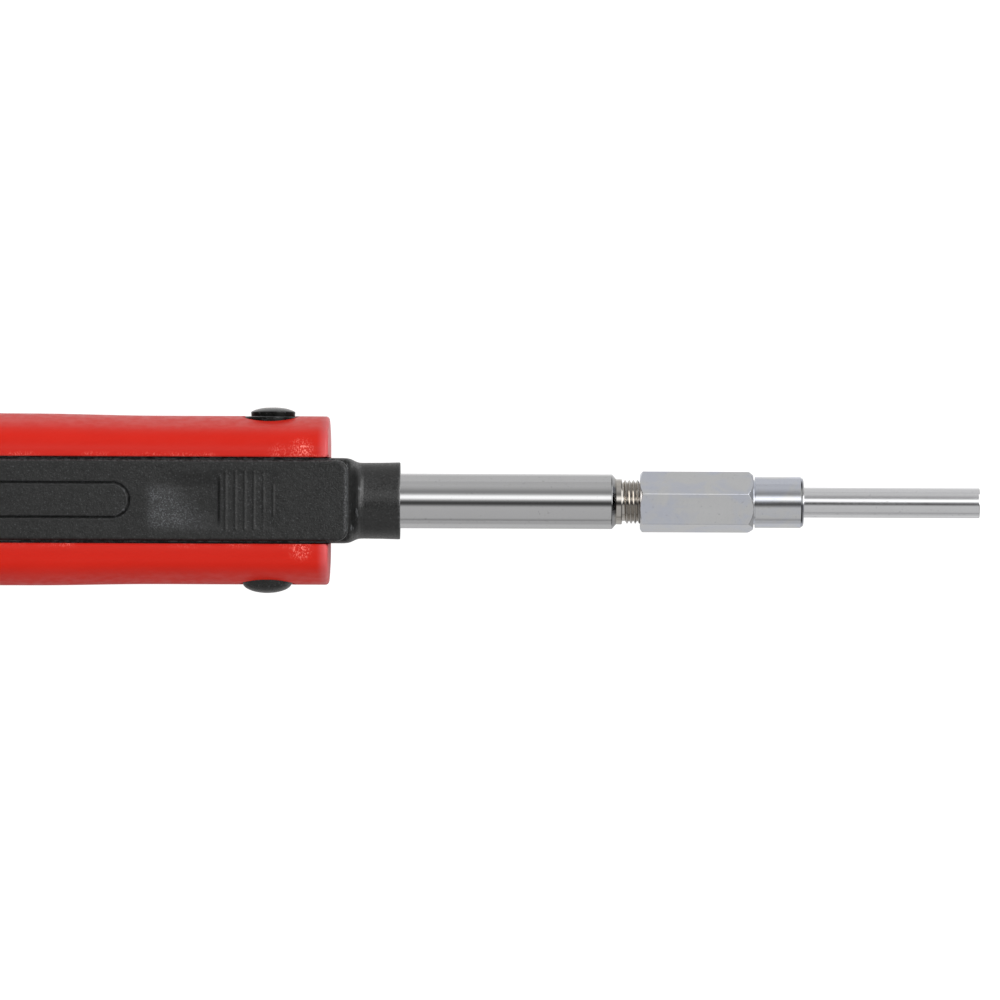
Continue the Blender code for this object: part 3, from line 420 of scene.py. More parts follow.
# two copies of one black: the left button's is glossier, a painted sheen on the side the light
# comes from, and the right button's is less glossy, painted shade
BUTTON_BLACK_LEFT_LIT = black_plastic(
    "button_black", **BUTTON_TONES, roughness=0.16, grain=3000, depth=0.000008,
    gloss=0.95, fleck=0.3, gloss_map=wall_gloss)
BUTTON_BLACK_RIGHT_SHADED = black_plastic(
    "button_black_shaded", **BUTTON_TONES, roughness=0.22, grain=3000, depth=0.000010,
    gloss=0.42, fleck=0.3)
STEEL = steel("bright_steel", (0.655, 0.655, 0.66), roughness=(0.055, 0.115), lines=9000,
              strength=0.22, tarnish=(31.12, 31.22), ends=(30.0, 31.55, 0.74))
TIP_STEEL = steel("nozzle_steel", (0.84, 0.84, 0.855), roughness=(0.13, 0.21), lines=2600,
                  strength=0.12)
NUT_STEEL = steel("plated_nut", (0.755, 0.758, 0.765), roughness=(0.09, 0.18), lines=3000,
                  strength=0.16, wave=0.22, plate=(0.66, 0.69, 0.79), ends=(48.0, 60.0, 0.93))
SPRING = clouded("spring_wire", (0.52, 0.52, 0.54), roughness=(0.2, 0.35), **PLAIN_METAL)
ZINC = clouded("zinc_screw", (0.60, 0.61, 0.63), roughness=(0.22, 0.36), **PLAIN_METAL)
ALU = steel("honed_aluminium", (0.74, 0.75, 0.77), **TURNED)
BRASS = steel("turned_brass", (0.78, 0.56, 0.26), **TURNED)
NYLON = clouded("natural_nylon", (0.72, 0.71, 0.66), roughness=(0.4, 0.55), **SOFT)
PTFE = clouded("gland_white", (0.84, 0.84, 0.81), roughness=(0.42, 0.55), **SOFT)
RUBBER = clouded("seal_rubber", (0.020, 0.020, 0.021), roughness=(0.55, 0.75), **SOFT)


# ================================================================ shape makers, mm
def new_object(name, verts, faces):
    mesh = bpy.data.meshes.new(name)
    mesh.from_pydata([tuple(v) for v in verts], [], faces)
    work = bmesh.new()
    work.from_mesh(mesh)
    bmesh.ops.recalc_face_normals(work, faces=work.faces)
    work.to_mesh(mesh)
    work.free()
    ob = bpy.data.objects.new(name, mesh)
    bpy.context.scene.collection.objects.link(ob)
    return ob


def place(axis, centre, along, radius, angle):
    """A point at a radius and angle round a line parallel to the axis through the centre."""
    c, s = radius * math.cos(angle), radius * math.sin(angle)
    if axis == "X":
        return (along, centre[0] + c, centre[1] + s)
    if axis == "Y":
        return (centre[0] + s, along, centre[1] + c)
    return (centre[0] + c, centre[1] + s, along)


class Skin:
    """A surface round an axis, built from rings of vertices."""

    def __init__(self, sides, axis="X", centre=(0.0, AXIS_Z)):
        self.sides, self.axis, self.centre = sides, axis, centre
        self.verts, self.faces = [], []

    def vertex(self, along, radius=0, angle=0):
        self.verts.append(place(self.axis, self.centre, along, radius, angle))
        return len(self.verts) - 1

    def ring(self, along, radius):
        """radius is a number or a function of the angle."""
        angles = [2 * math.pi * i / self.sides for i in range(self.sides)]
        return [self.vertex(along, radius(t) if callable(radius) else radius, t) for t in angles]

    def rings(self, profile):
        return [self.ring(along, radius) for along, radius in profile]

    def join(self, first, second):
        for i in range(self.sides):
            k = (i + 1) % self.sides
            self.faces.append((first[i], first[k], second[k], second[i]))

    def strip(self, rings):
        for first, second in zip(rings, rings[1:]):
            self.join(first, second)

    def fan(self, ring, apex):
        for i in range(self.sides):
            self.faces.append((ring[i], ring[(i + 1) % self.sides], apex))

    def thread(self, start_ring, end_ring, start, turns, radius, per=8):
        """A one-start right-hand thread; radius(phase 0..1, turns from the start) shapes it."""
        n, rows = self.sides, per * turns
        grid = []
        for i in range(n):
            angle = 2 * math.pi * i / n
            grid.append([self.vertex(start + PITCH * (j / per + i / n),
                                     radius((j % per) / per, j / per), angle)
                         for j in range(rows + 1)])
        for i in range(n - 1):
            here, after = grid[i], grid[i + 1]
            self.faces.append((start_ring[i], start_ring[i + 1], after[0], here[0]))
            self.faces.append((end_ring[i], end_ring[i + 1], after[rows], here[rows]))
            for j in range(rows):
                self.faces.append((here[j], after[j], after[j + 1], here[j + 1]))
        # the last column meets the first one a full turn further on
        first, last = grid[0], grid[n - 1]
        for j in range(rows - per):
            self.faces.append((last[j], first[j + per], first[j + per + 1], last[j + 1]))
        self.faces.append((start_ring[n - 1], start_ring[0], *first[:per + 1], last[0]))
        self.faces.append((end_ring[n - 1], end_ring[0], first[rows], *last[rows - per:]))

    def make(self, name):
        return new_object(name, self.verts, self.faces)


def turned(name, profile, sides=72, axis="X", centre=(0.0, AXIS_Z)):
    """Turn (along, radius) points: solid if they start on the axis, otherwise a closed ring."""
    skin = Skin(sides, axis, centre)
    if profile[0][1] == 0:
        rings = skin.rings(profile[1:-1])
        skin.fan(rings[0], skin.vertex(profile[0][0]))
        skin.fan(rings[-1], skin.vertex(profile[-1][0]))
    else:
        rings = skin.rings(profile)
        skin.join(rings[-1], rings[0])
    skin.strip(rings)
    return skin.make(name)


def rod(name, start, end, radius, sides=48, axis="X", centre=(0.0, AXIS_Z)):
    profile = [(start, 0), (start, radius), (end, radius), (end, 0)]
    return turned(name, profile, sides, axis, centre)


def chamfered(profile, size):
    """The same closed profile with its corners cut by a small broken edge."""
    out = []
    for i, (a, r) in enumerate(profile):
        before, after = profile[i - 1], profile[(i + 1) % len(profile)]
        to_before, to_after = math.dist((a, r), before), math.dist((a, r), after)
        k = min(size, to_before * 0.35, to_after * 0.35)
        p0 = (a + (before[0] - a) * k / to_before, r + (before[1] - r) * k / to_before)
        p1 = (a + (after[0] - a) * k / to_after, r + (after[1] - r) * k / to_after)
        middle = ((p0[0] + p1[0] + 2 * a) / 4, (p0[1] + p1[1] + 2 * r) / 4)
        out += [p0, middle, p1]
    return out


def loft(name, loops):
    verts, faces, n = [], [], len(loops[0])
    for loop in loops:
        verts += loop
    for k in range(len(loops) - 1):
        for i in range(n):
            j = (i + 1) % n
            faces.append((k * n + i, k * n + j, (k + 1) * n + j, (k + 1) * n + i))
    faces.append(tuple(range(n)))
    faces.append(tuple(range((len(loops) - 1) * n, len(loops) * n)))
    return new_object(name, verts, faces)


def prism_x(name, outline, u0, u1):
    """A (y, z) outline drawn out along X."""
    return loft(name, [[(u, y, z) for y, z in outline] for u in (u0, u1)])


def block(name, u, y, z):
    """A box from its (low, high) limits on each axis."""
    return prism_x(name, [(y[0], z[0]), (y[1], z[0]), (y[1], z[1]), (y[0], z[1])], *u)


def mirrored(half):
    """A (y, z) half outline and its mirror image in the middle plane."""
    return half + [(-y, z) for y, z in reversed(half)]


def torus(name, u, major, minor, segments=20):
    angles = [2 * math.pi * k / segments for k in range(segments)]
    return turned(name, [(u + minor * math.cos(t), major + minor * math.sin(t)) for t in angles])


def coil(name, start, end, major, wire, turns, axis="X", centre=(0.0, AXIS_Z)):
    """A compression spring, its end turns wound close."""
    per_turn, sides, close_turns = 40, 12, 0.9
    low, high = min(start, end) + wire, max(start, end) - wire
    steps = int(turns * per_turn)
    tight = 2 * wire * 1.04
    open_pitch = (high - low - 2 * close_turns * tight) / (turns - 2 * close_turns)
    verts, faces = [], []

    def along(turn):
        if turn < close_turns:
            return low + tight * turn
        if turn > turns - close_turns:
            return high - tight * (turns - turn)
        return low + tight * close_turns + open_pitch * (turn - close_turns)

    for k in range(steps + 1):
        turn = turns * k / steps
        middle, angle = along(turn), 2 * math.pi * turn
        for m in range(sides):
            q = 2 * math.pi * m / sides
            verts.append(place(axis, centre, middle + wire * math.sin(q),
                               major + wire * math.cos(q), angle))
    for k in range(steps):
        for m in range(sides):
            j = (m + 1) % sides
            faces.append((k * sides + m, k * sides + j, (k + 1) * sides + j, (k + 1) * sides + m))
    faces.append(tuple(range(sides)))
    faces.append(tuple(range(steps * sides, (steps + 1) * sides)))
    return new_object(name, verts, faces)


def combine(ob, tool, operation):
    mod = ob.modifiers.new(operation.lower(), "BOOLEAN")
    mod.operation, mod.solver, mod.object = operation, "EXACT", tool
    bpy.context.view_layer.update()
    solved = ob.evaluated_get(bpy.context.evaluated_depsgraph_get())
    mesh = bpy.data.meshes.new_from_object(solved)
    ob.modifiers.clear()
    ob.data = mesh
    bpy.data.objects.remove(tool, do_unlink=True)


def cut(ob, *tools):
    for tool in tools:
        combine(ob, tool, "DIFFERENCE")


def add(ob, *others):
    for other in others:
        combine(ob, other, "UNION")


def piece(ob, name, mat, node, body, sharp=30, bevel=0.0, weighted=False):
    """Put into metres, shade and hang on its body (None leaves it on no body)."""
    ob.name = ob.data.name = name
    ob.data.transform(Matrix.Scale(0.001, 4) @ Matrix.Translation(Vector((SHIFT, 0, 0))))
    ob.data.materials.clear()
    ob.data.materials.append(mat)
    ob.data.shade_smooth()
    ob.data.set_sharp_from_angle(angle=math.radians(sharp))
    if bevel:
        mod = ob.modifiers.new("broken_edges", "BEVEL")
        mod.width, mod.segments = bevel / 1000, 2
        mod.limit_method, mod.angle_limit = "ANGLE", math.radians(40)
        mod.harden_normals = False
    if weighted:
        mod = ob.modifiers.new("even_shading", "WEIGHTED_NORMAL")
        mod.keep_sharp = True
    if body:
        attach(ob, body)
    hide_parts(node)
    return ob


# ================================================================ handle shells
# u, half width of the handle at its widest
WIDTHS = (
    (0.0, 9.21), (-18.6, 9.21), (-32.5, 9.40), (-52.0, 9.45), (-66.0, 9.50), (-78.0, 9.45),
    (-90.0, 9.28), (SHELL_END, 8.90), (END_U, 8.75),
)
EASED_FROM = -18.6      # the stretch behind this station widens with an ease, the others straight
SIDE_R, SIDE_Z = 15, 9.0            # arc of the handle's side and the height of its centre
SIDE_LOW, SIDE_HIGH = 3.6, 13.2     # ends of that arc
FRONT_ROUND, REAR_ROUND, LIP_ROUND = 0.4, 0.2, 0.28


def width(u):
    for (u1, w1), (u2, w2) in zip(WIDTHS, WIDTHS[1:]):
        if u >= u2:
            break
    k = (u1 - u) / (u1 - u2)
    if u1 == EASED_FROM:
        k = k * k * (3 - 2 * k)
    return w1 + (w2 - w1) * k


def bezier(p0, p1, p2, p3, steps=18):
    """The points between the ends of a cubic curve."""
    out = []
    for i in range(1, steps):
        t = i / steps
        out.append(tuple((1 - t) ** 3 * a + 3 * (1 - t) ** 2 * t * b
                         + 3 * (1 - t) * t * t * c + t ** 3 * d
                         for a, b, c, d in zip(p0, p1, p2, p3)))
    return out


def outline_half(half_width, inset=0.0, side_steps=16):
    """Half section of the handle as (y, z), from its underside round to its top."""
    def side_y(z):
        return half_width - SIDE_R + math.sqrt(SIDE_R ** 2 - (z - SIDE_Z) ** 2)

    def slope(z):
        d = -(z - SIDE_Z) / math.sqrt(SIDE_R ** 2 - (z - SIDE_Z) ** 2)
        length = math.hypot(d, 1)
        return d / length, 1 / length

    bottom, low = (5.4, 0.0), (side_y(SIDE_LOW), SIDE_LOW)
    high, top = (side_y(SIDE_HIGH), SIDE_HIGH), (5.3, HEIGHT)
    low_slope, high_slope = slope(SIDE_LOW), slope(SIDE_HIGH)
    pts = [bottom]
    pts += bezier(bottom, (bottom[0] + 1.9, 0),
                  (low[0] - 2.0 * low_slope[0], low[1] - 2.0 * low_slope[1]), low)
    pts.append(low)
    for k in range(1, side_steps):
        z = SIDE_LOW + (SIDE_HIGH - SIDE_LOW) * k / side_steps
        pts.append((side_y(z), z))
    pts.append(high)
    pts += bezier(high, (high[0] + 2.2 * high_slope[0], high[1] + 2.2 * high_slope[1]),
                  (top[0] + 2.1, HEIGHT), top)
    pts.append(top)
    if not inset:
        return pts
    moved = []
    for i, point in enumerate(pts):
        before, after = pts[max(0, i - 1)], pts[min(len(pts) - 1, i + 1)]
        ty, tz = after[0] - before[0], after[1] - before[1]
        if i == 0:
            ty, tz = 1, 0
        if i == len(pts) - 1:
            ty, tz = -1, 0
        length = math.hypot(ty, tz)
        moved.append((point[0] - inset * tz / length, point[1] + inset * ty / length))
    return moved


def shell_section(u, inset, sign):
    pts = [(SPLIT, inset)] + outline_half(width(u), inset)
    top, r = HEIGHT - inset, LIP_ROUND
    for k in range(6):
        t = math.pi / 2 * k / 5
        pts.append((LIP_Y + inset + r - r * math.sin(t), top - 0.05 - r + r * math.cos(t)))
    pts += [(LIP_Y + inset, 15.0), (SPLIT, 15.0)]
    return [(u, sign * y, z) for y, z in pts]


def cell(u0, u1, high=12.9):
    """A hollow inside the handle."""
    return prism_x("cell", mirrored([(5.2, 1.8), (6.9, 3.5), (7.35, 6.2), (7.4, 9.0),
                                     (7.3, high)]), u0, u1)


def shell_cutters():
    cylinder_path = [(-10.9, 0), (-10.9, 6.3), (-12.9, 6.3), (-12.9, 5.8), (-54.95, 5.8),
                     (-54.95, 6.3), (-56.35, 6.3), (-56.35, 4.3), (-58.0, 4.3), (-58.0, 0)]
    nose_path = [(-4.75, 1.9), (4.75, 1.9), (4.75, 14.4), (-4.75, 14.4)]
    plug_waist = [(-4.2, 2.6), (4.2, 2.6), (6.4, 5.0), (6.4, 12.6), (4.2, 13.4),
                  (-4.2, 13.4), (-6.4, 12.6), (-6.4, 5.0)]
    return [
        block("channel", u=(-99.45, -1.7), y=(-6.8, 6.8), z=(14.3, 16.1)),
        cell(-11.0, -1.7), cell(-33.0, -14.4), cell(-52.5, -34.5), cell(-99.45, -57.9),
        block("rib_path", u=(-58.0, -1.6), y=(-5.75, 5.75), z=(12.8, 14.4)),
        block("neck_path", u=(-99.45, -57.0), y=(-1.75, 1.75), z=(12.8, 14.4)),
        turned("cylinder_path", cylinder_path, 64),
        prism_x("nose_path", nose_path, -1.8, 0.5),
        block("slide_nose_path", u=(-1.8, 0.5), y=(-4.75, 4.75), z=(14.2, 15.2)),
        cell(-100.35, -99.3, high=14.1), cell(-102.6, -101.35, high=14.1),
        prism_x("plug_waist", plug_waist, -101.6, -100.1),
        block("plug_top", u=(-102.6, -99.3), y=(-4.75, 4.75), z=(13.0, 15.2)),
        block("plug_channel", u=(-102.6, -99.3), y=(-6.8, 6.8), z=(13.9, 16.1)),
    ]


def shell(side, sign):
    stations = []   # u, inset
    for k in range(7):
        t = math.pi / 2 * k / 6
        stations.append((-FRONT_ROUND * (1 - math.cos(t)), FRONT_ROUND * (1 - math.sin(t))))
    u = -3.0
    while u > SHELL_END + 1.5:
        stations.append((u, 0.0))
        u -= 2.2
    for k in range(1, 5):
        t = math.pi / 2 * k / 4
        stations.append((SHELL_END + REAR_ROUND - REAR_ROUND * math.sin(t),
                         REAR_ROUND * (1 - math.cos(t))))
    ob = loft("shell", [shell_section(u, inset, sign) for u, inset in stations])
    cut(ob, *shell_cutters())
    for u in SCREW_US.values():
        add(ob, rod("pillar", sign * SPLIT, sign * 6.6, 1.9, 32, "Y", (u, SCREW_Z)))
    # the button's opening has a small countersink round its rim
    opening = [(5.0, 0), (5.0, BUTTON_R + 0.13), (8.55, BUTTON_R + 0.13),
               (9.35, BUTTON_R + 0.45), (11.0, BUTTON_R + 0.9), (11.0, 0)]
    button_at = (BUTTON_US[side], BUTTON_Z)
    cut(ob, turned("button_hole", [(sign * y, r) for y, r in opening], 96, "Y", button_at),
        rod("button_pocket", sign * 4.9, sign * 7.42, 3.5, 48, "Y", button_at))
    # pilot holes in the left shell, stepped clearance holes in the right
    for u in SCREW_US.values():
        if sign > 0:
            cut(ob, rod("pilot", -0.5, 6.0, 1.1, 24, "Y", (u, SCREW_Z)))
        else:
            steps = [(0.5, 0), (0.5, 1.15), (-6.3, 1.15), (-6.3, 2.05), (-8.0, 2.05),
                     (-9.6, 2.5), (-11, 2.5), (-11, 0)]
            cut(ob, turned("clear", steps, 48, "Y", (u, SCREW_Z)))
    piece(ob, "handle_shell_%s_moulding" % side, RED, "handle_shell_" + side, "tool",
          sharp=38, weighted=True)


def shell_screw(label, u):
    profile = [(-7.75, 0), (-7.75, 1.25), (-7.68, 1.5), (-7.5, 1.72), (-7.3, 1.8), (-6.5, 1.8),
               (-6.5, 1.0), (4.9, 1.0), (5.6, 0.4), (5.6, 0)]
    ob = turned("screw", profile, 48, "Y", (u, SCREW_Z))
    # the two arms of the cross recess
    for half_u, half_z in ((1.1, 0.22), (0.22, 1.1)):
        cut(ob, block("slot", u=(u - half_u, u + half_u), y=(-8.2, -7.1),
                      z=(SCREW_Z - half_z, SCREW_Z + half_z)))
    piece(ob, "cross_screw_" + label, ZINC, "shell_screw_" + label, "tool")


for side, sign in SIDES:
    shell(side, sign)
for label, u in SCREW_US.items():
    shell_screw(label, u)


# ================================================================ front housing
# u, half width, half height, squareness (2 is an ellipse)
HOUSING_NOSE = (
    (-3.1, 4.66, 6.1, 9), (1.60, 4.66, 6.1, 9), (1.98, 4.63, 6.05, 8.5), (2.25, 4.57, 5.92, 7.2),
    (2.45, 4.49, 5.7, 5.8), (2.63, 4.40, 5.35, 4.6), (2.80, 4.315, 4.95, 3.6),
    (2.98, 4.245, 4.62, 2.9), (3.18, 4.19, 4.38, 2.4), (3.42, 4.16, 4.24, 2.15),
    (3.75, 4.15, 4.17, 2.02), (4.2, 4.155, 4.155, 2),
)
# u, radius
HOUSING_COLLAR = [(4.2, 4.155), (5.8, 4.17), (7.35, 4.21), (7.62, 4.215), (7.70, 4.19),
                  (7.73, 4.13), (7.73, 3.3)]


def squircle(half_width, half_height, power):
    def radius(t):
        c, s = abs(math.cos(t)) / half_width, abs(math.sin(t)) / half_height
        return (c ** power + s ** power) ** (-1 / power)
    return radius


def front_housing():
    """A squarish nose that runs out into a round collar."""
    profile = []
    for here, after in zip(HOUSING_NOSE, HOUSING_NOSE[1:]):
        steps = 1 if after[0] - here[0] > 1 else 4
        for k in range(steps):
            t = k / steps
            u, *form = (a + (b - a) * t for a, b in zip(here, after))
            profile.append((u, squircle(*form)))
    profile += HOUSING_COLLAR
    skin = Skin(192)
    rings = skin.rings(profile)
    skin.strip(rings)
    skin.fan(rings[0], skin.vertex(profile[0][0]))
    skin.fan(rings[-1], skin.vertex(profile[-1][0]))
    ob = skin.make("front_housing")
    add(ob, block("retainer", u=(-3.2, -1.9), y=(-5.6, 5.6), z=(2.3, 12.7)),
        block("saddle", u=(-10.85, -2.5), y=(-3.3, 3.3), z=(4.4, 12.05)),
        block("latch_seat", u=(-4.7, -2.4), y=(-3.1, 3.1), z=(11.5, 14.1)))
    bore = [(-12, 0), (-12, STEM_TAIL_R + 0.06), (-1.1, STEM_TAIL_R + 0.06),
            (-1.1, STEM_R + 0.04), (7.5, STEM_R + 0.04), (9, STEM_R + 0.3), (9, 0)]
    cut(ob, turned("bore", bore, 96),
        block("clip_slot", u=(-10.1, -9.1), y=(-4, 4), z=(4.0, 11.6)),
        block("leaf_slot", u=(-5.5, -2.9), y=(-2.3, 2.3), z=(12.4, 13.1)))
    piece(ob, "front_housing_moulding", SMOOTH_BLACK, "front_housing", "tool",
          sharp=32, weighted=True)


front_housing()


# ================================================================ stem, clip, seal
def vee(root, crest):
    """A thread form with a rounded crest and a flat root."""
    def radius(phase, turn):
        k = abs(2 * phase - 1)
        depth = min(1.0, max(0.0, (k - 0.16) / 0.72))
        return crest + (root - crest) * depth
    return radius


def stem():
    # u, radius: outside from the tail to the thread, with a groove for the clip
    outside = [
        (-15.0, 2.35), (-14.8, STEM_TAIL_R), (-10.02, STEM_TAIL_R), (-10.02, 2.15),
        (-9.18, 2.15), (-9.18, STEM_TAIL_R), (-1.02, STEM_TAIL_R), (-1.02, STEM_R),
        (-0.8, STEM_R), (30.74, STEM_R), (30.82, STEM_R), (30.90, STEM_R - 0.02),
        (31.30, NECK_R + 0.02), (31.36, NECK_R - 0.03), (31.44, NECK_R - 0.03),
        (31.50, NECK_R - 0.02), (31.84, NECK_R - 0.02), (31.90, NECK_R - 0.02),
        (31.96, NECK_R - 0.05), (32.03, ROOT_R),
    ]
    # from the thread round the front end and back along the bore
    front_and_bore = [
        (37.6, ROOT_R), (38.35, 2.08), (38.55, 1.9), (38.55, 1.48), (30.0, 1.48),
        (29.4, STEM_BORE_R), (-15.0, STEM_BORE_R),
    ]
    skin = Skin(128)
    outer = skin.rings(outside)
    inner = skin.rings(front_and_bore)
    skin.strip(outer)
    skin.thread(outer[-1], inner[0], THREAD_X0, THREAD_TURNS, vee(ROOT_R, CREST_R))
    skin.strip(inner)
    skin.join(inner[-1], outer[0])
    piece(skin.make("stem"), "stem_bright_tube", STEEL, "stem_tube", "tool", sharp=28)


def stem_clip():
    ob = rod("clip", -10.0, -9.2, 3.15, 64)
    cut(ob, rod("hole", -11, -8, 2.22, 64),
        block("mouth", u=(-11, -8), y=(-2.0, 2.0), z=(2.0, AXIS_Z)))
    piece(ob, "stem_spring_clip", SPRING, "stem_clip", "tool", bevel=0.08)


stem()
stem_clip()
piece(torus("o", -12.85, 3.0, 0.42), "stem_o_ring", RUBBER, "stem_seal", "tool")


# ================================================================ vacuum cylinder
def cylinder_tube():
    profile = [(-12.8, TUBE_BORE_R), (-12.8, TUBE_R), (-54.9, TUBE_R), (-54.9, TUBE_BORE_R)]
    piece(turned("tube", chamfered(profile, 0.12), 128),
          "cylinder_honed_tube", ALU, "cylinder_tube", "tool")


def cylinder_head():
    bore_r = STEM_TAIL_R + 0.06
    profile = [(-11.1, bore_r), (-11.1, 6.2), (-12.7, 6.2), (-12.7, 5.02), (-14.15, 5.02),
               (-14.15, 4.18), (-15.35, 4.18), (-15.35, 5.02), (-16.3, 5.02), (-16.3, 1.7),
               (-15.15, 1.7), (-15.15, bore_r), (-13.45, bore_r), (-13.45, 3.5),
               (-12.25, 3.5), (-12.25, bore_r)]
    piece(turned("head", chamfered(profile, 0.1), 96),
          "cylinder_turned_head", BRASS, "cylinder_head", "tool")


def rod_bush():
    profile = [(-52.1, 1.56), (-52.1, 5.02), (-55.0, 5.02), (-55.0, 6.2), (-56.2, 6.2),
               (-56.2, 1.56)]
    ob = turned("bush", chamfered(profile, 0.1), 96)
    for sign in (-1, 1):
        cut(ob, rod("vent", -51, -58, 0.55, 32, "X", (3.6 * sign, AXIS_Z)))
    piece(ob, "rod_guide_bush", NYLON, "rod_bush", "tool")


def bumper():
    profile = [(-51.15, 1.8), (-51.15, 4.1), (-51.35, 4.4), (-52.0, 4.4), (-52.0, 1.8)]
    piece(turned("bumper", chamfered(profile, 0.12)),
          "bumper_washer", RUBBER, "bumper_ring", "tool")


cylinder_tube()
cylinder_head()
piece(torus("o", -14.75, 4.63, 0.42), "head_o_ring", RUBBER, "head_seal", "tool")
rod_bush()
bumper()


# ================================================================ carriage
def centred(angle):
    """Signed offset of an angle from the nearest multiple of 60 degrees."""
    return ((angle + math.radians(30)) % math.radians(60)) - math.radians(30)


def piston():
    profile = [(-17.2, 2.75), (-17.2, 4.8), (-17.4, 4.98), (-19.2, 4.98), (-19.2, 4.12),
               (-20.55, 4.12), (-20.55, 4.98), (-23.0, 4.98), (-23.2, 4.8), (-23.2, 1.06),
               (-19.25, 1.06), (-19.25, 2.75)]
    piece(turned("piston", chamfered(profile, 0.1), 96),
          "piston_moulding", NYLON, "piston", "carriage")


def piston_nut():
    flat_r = 1.98

    def hexagon(limit):
        return lambda t: min(flat_r / math.cos(centred(t)), limit)

    # u, limiting radius
    profile = [(-17.5, 1.08), (-17.5, flat_r), (-17.68, 2.4), (-18.92, 2.4), (-19.1, flat_r),
               (-19.1, 1.08)]
    skin = Skin(96)
    rings = skin.rings([(u, hexagon(limit)) for u, limit in profile])
    skin.strip(rings + rings[:1])
    piece(skin.make("nut"), "piston_hex_nut", BRASS, "piston_nut", "carriage")


def piston_rod():
    profile = [(-17.35, 0.56), (-17.35, 1.0), (-23.3, 1.0), (-23.3, 1.5), (-66.6, 1.5),
               (-66.9, 1.2), (-66.9, 0.56)]
    ob = turned("rod", chamfered(profile, 0.08), 64)
    cut(ob, rod("pin_hole", -3, 3, 0.8, 32, "Y", ROD_PIN_AT))
    piece(ob, "piston_ground_rod", STEEL, "piston_rod", "carriage")


def cleaning_wire():
    profile = [(-24.0, 0), (-24.0, 0.44), (-23.94, 0.5), (68.2, 0.5), (68.7, 0.42),
               (68.95, 0.25), (69.0, 0.1), (69.0, 0)]
    piece(turned("needle", profile, 48), "cleaning_wire", TIP_STEEL, "cleaning_rod", "carriage")


def crosshead():
    ob = block("cross", u=(-71.0, -63.8), y=(-4.5, 4.5), z=(4.7, 12.6))
    add(ob, block("neck", u=(-70.8, -64.2), y=(-1.45, 1.45), z=(12.0, 15.25)))
    screw_hole = [(3.0, 0), (3.0, 1.95), (6.2, 1.95), (6.2, 1.14), (17, 1.14), (17, 0)]
    cut(ob, rod("rod_hole", -60, -67.0, 1.6), rod("seat", -60, -64.1, 3.25, 64),
        rod("pin_hole", -6, 6, 0.8, 32, "Y", ROD_PIN_AT),
        turned("screw_hole", screw_hole, 48, "Z", SLIDE_SCREW_AT))
    piece(ob, "crosshead_moulding", NYLON, "crosshead", "carriage", bevel=0.2)


def rod_pin():
    profile = [(-4.35, 0), (-4.35, 0.6), (-4.2, 0.74), (4.2, 0.74), (4.35, 0.6), (4.35, 0)]
    piece(turned("pin", profile, 32, "Y", ROD_PIN_AT),
          "rod_cross_pin", STEEL, "rod_pin", "carriage")


def slide_screw():
    profile = [(4.75, 0), (4.75, 1.3), (4.85, 1.6), (5.0, 1.8), (6.1, 1.8), (6.1, 1.0),
               (16.3, 1.0), (16.5, 0.7), (16.5, 0)]
    ob = turned("slide_screw", profile, 48, "Z", SLIDE_SCREW_AT)
    cut(ob, block("slot", u=(-70.1, -67.9), y=(-0.22, 0.22), z=(4.2, 5.4)))
    piece(ob, "slide_slotted_screw", ZINC, "slide_screw", "carriage")


def main_spring():
    """Stretches between the bush and the crosshead."""
    ob = coil("spring", -56.28, -64.02, major=2.55, wire=0.3, turns=8)
    piece(ob, "main_spring_coil", SPRING, "main_spring", None)
    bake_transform(ob)


piston()
piece(torus("o", -19.88, 4.60, 0.44), "piston_o_ring", RUBBER, "piston_seal", "carriage")
piston_nut()
piston_rod()
cleaning_wire()
crosshead()
rod_pin()
slide_screw()
main_spring()


# ================================================================ thumb slide
# rib u, share of its height kept beyond its reach, reach from the middle plane
RIBS = (
    (-11.09, 1, 9), (-10.04, 1, 9), (-9.01, 1, 9), (-8.03, 1, 9), (-6.98, 0.35, 1.5),
    (-5.92, 0.0, 1.9),
)
RIB_HEIGHT, RIB_WIDTH = 0.105, 0.14
SCOOP_DEPTH, RIB_FLOOR_DEPTH = 0.46, 0.09
LABEL_REAR, LABEL_FRONT, LABEL_R = -62.0, -21.57, 1.88      # racetrack groove on top
LABEL_DEPTH = 0.26
# up to u, spacing of the mesh stations
STATION_STEPS = (
    (-62.5, 0.16), (-60, 0.1), (-24.2, 0.35), (-21.2, 0.1), (-12.4, 0.15), (-5.4, 0.05),
    (math.inf, 0.2),
)


def rounded_inside(u, y):
    """Distance in from the slide's plan outline, whose front corners are rounded."""
    r = SLIDE_CORNER_R
    corner_u, corner_y = SLIDE_FRONT - r, SLIDE_Y - r
    a = abs(y)
    if u > corner_u and a > corner_y:
        return r - math.hypot(u - corner_u, a - corner_y)
    return min(SLIDE_FRONT - u, SLIDE_Y - a, u - SLIDE_REAR)


def smoothstep(x, low, high):
    t = min(1.0, max(0.0, (x - low) / (high - low)))
    return t * t * (3 - 2 * t)


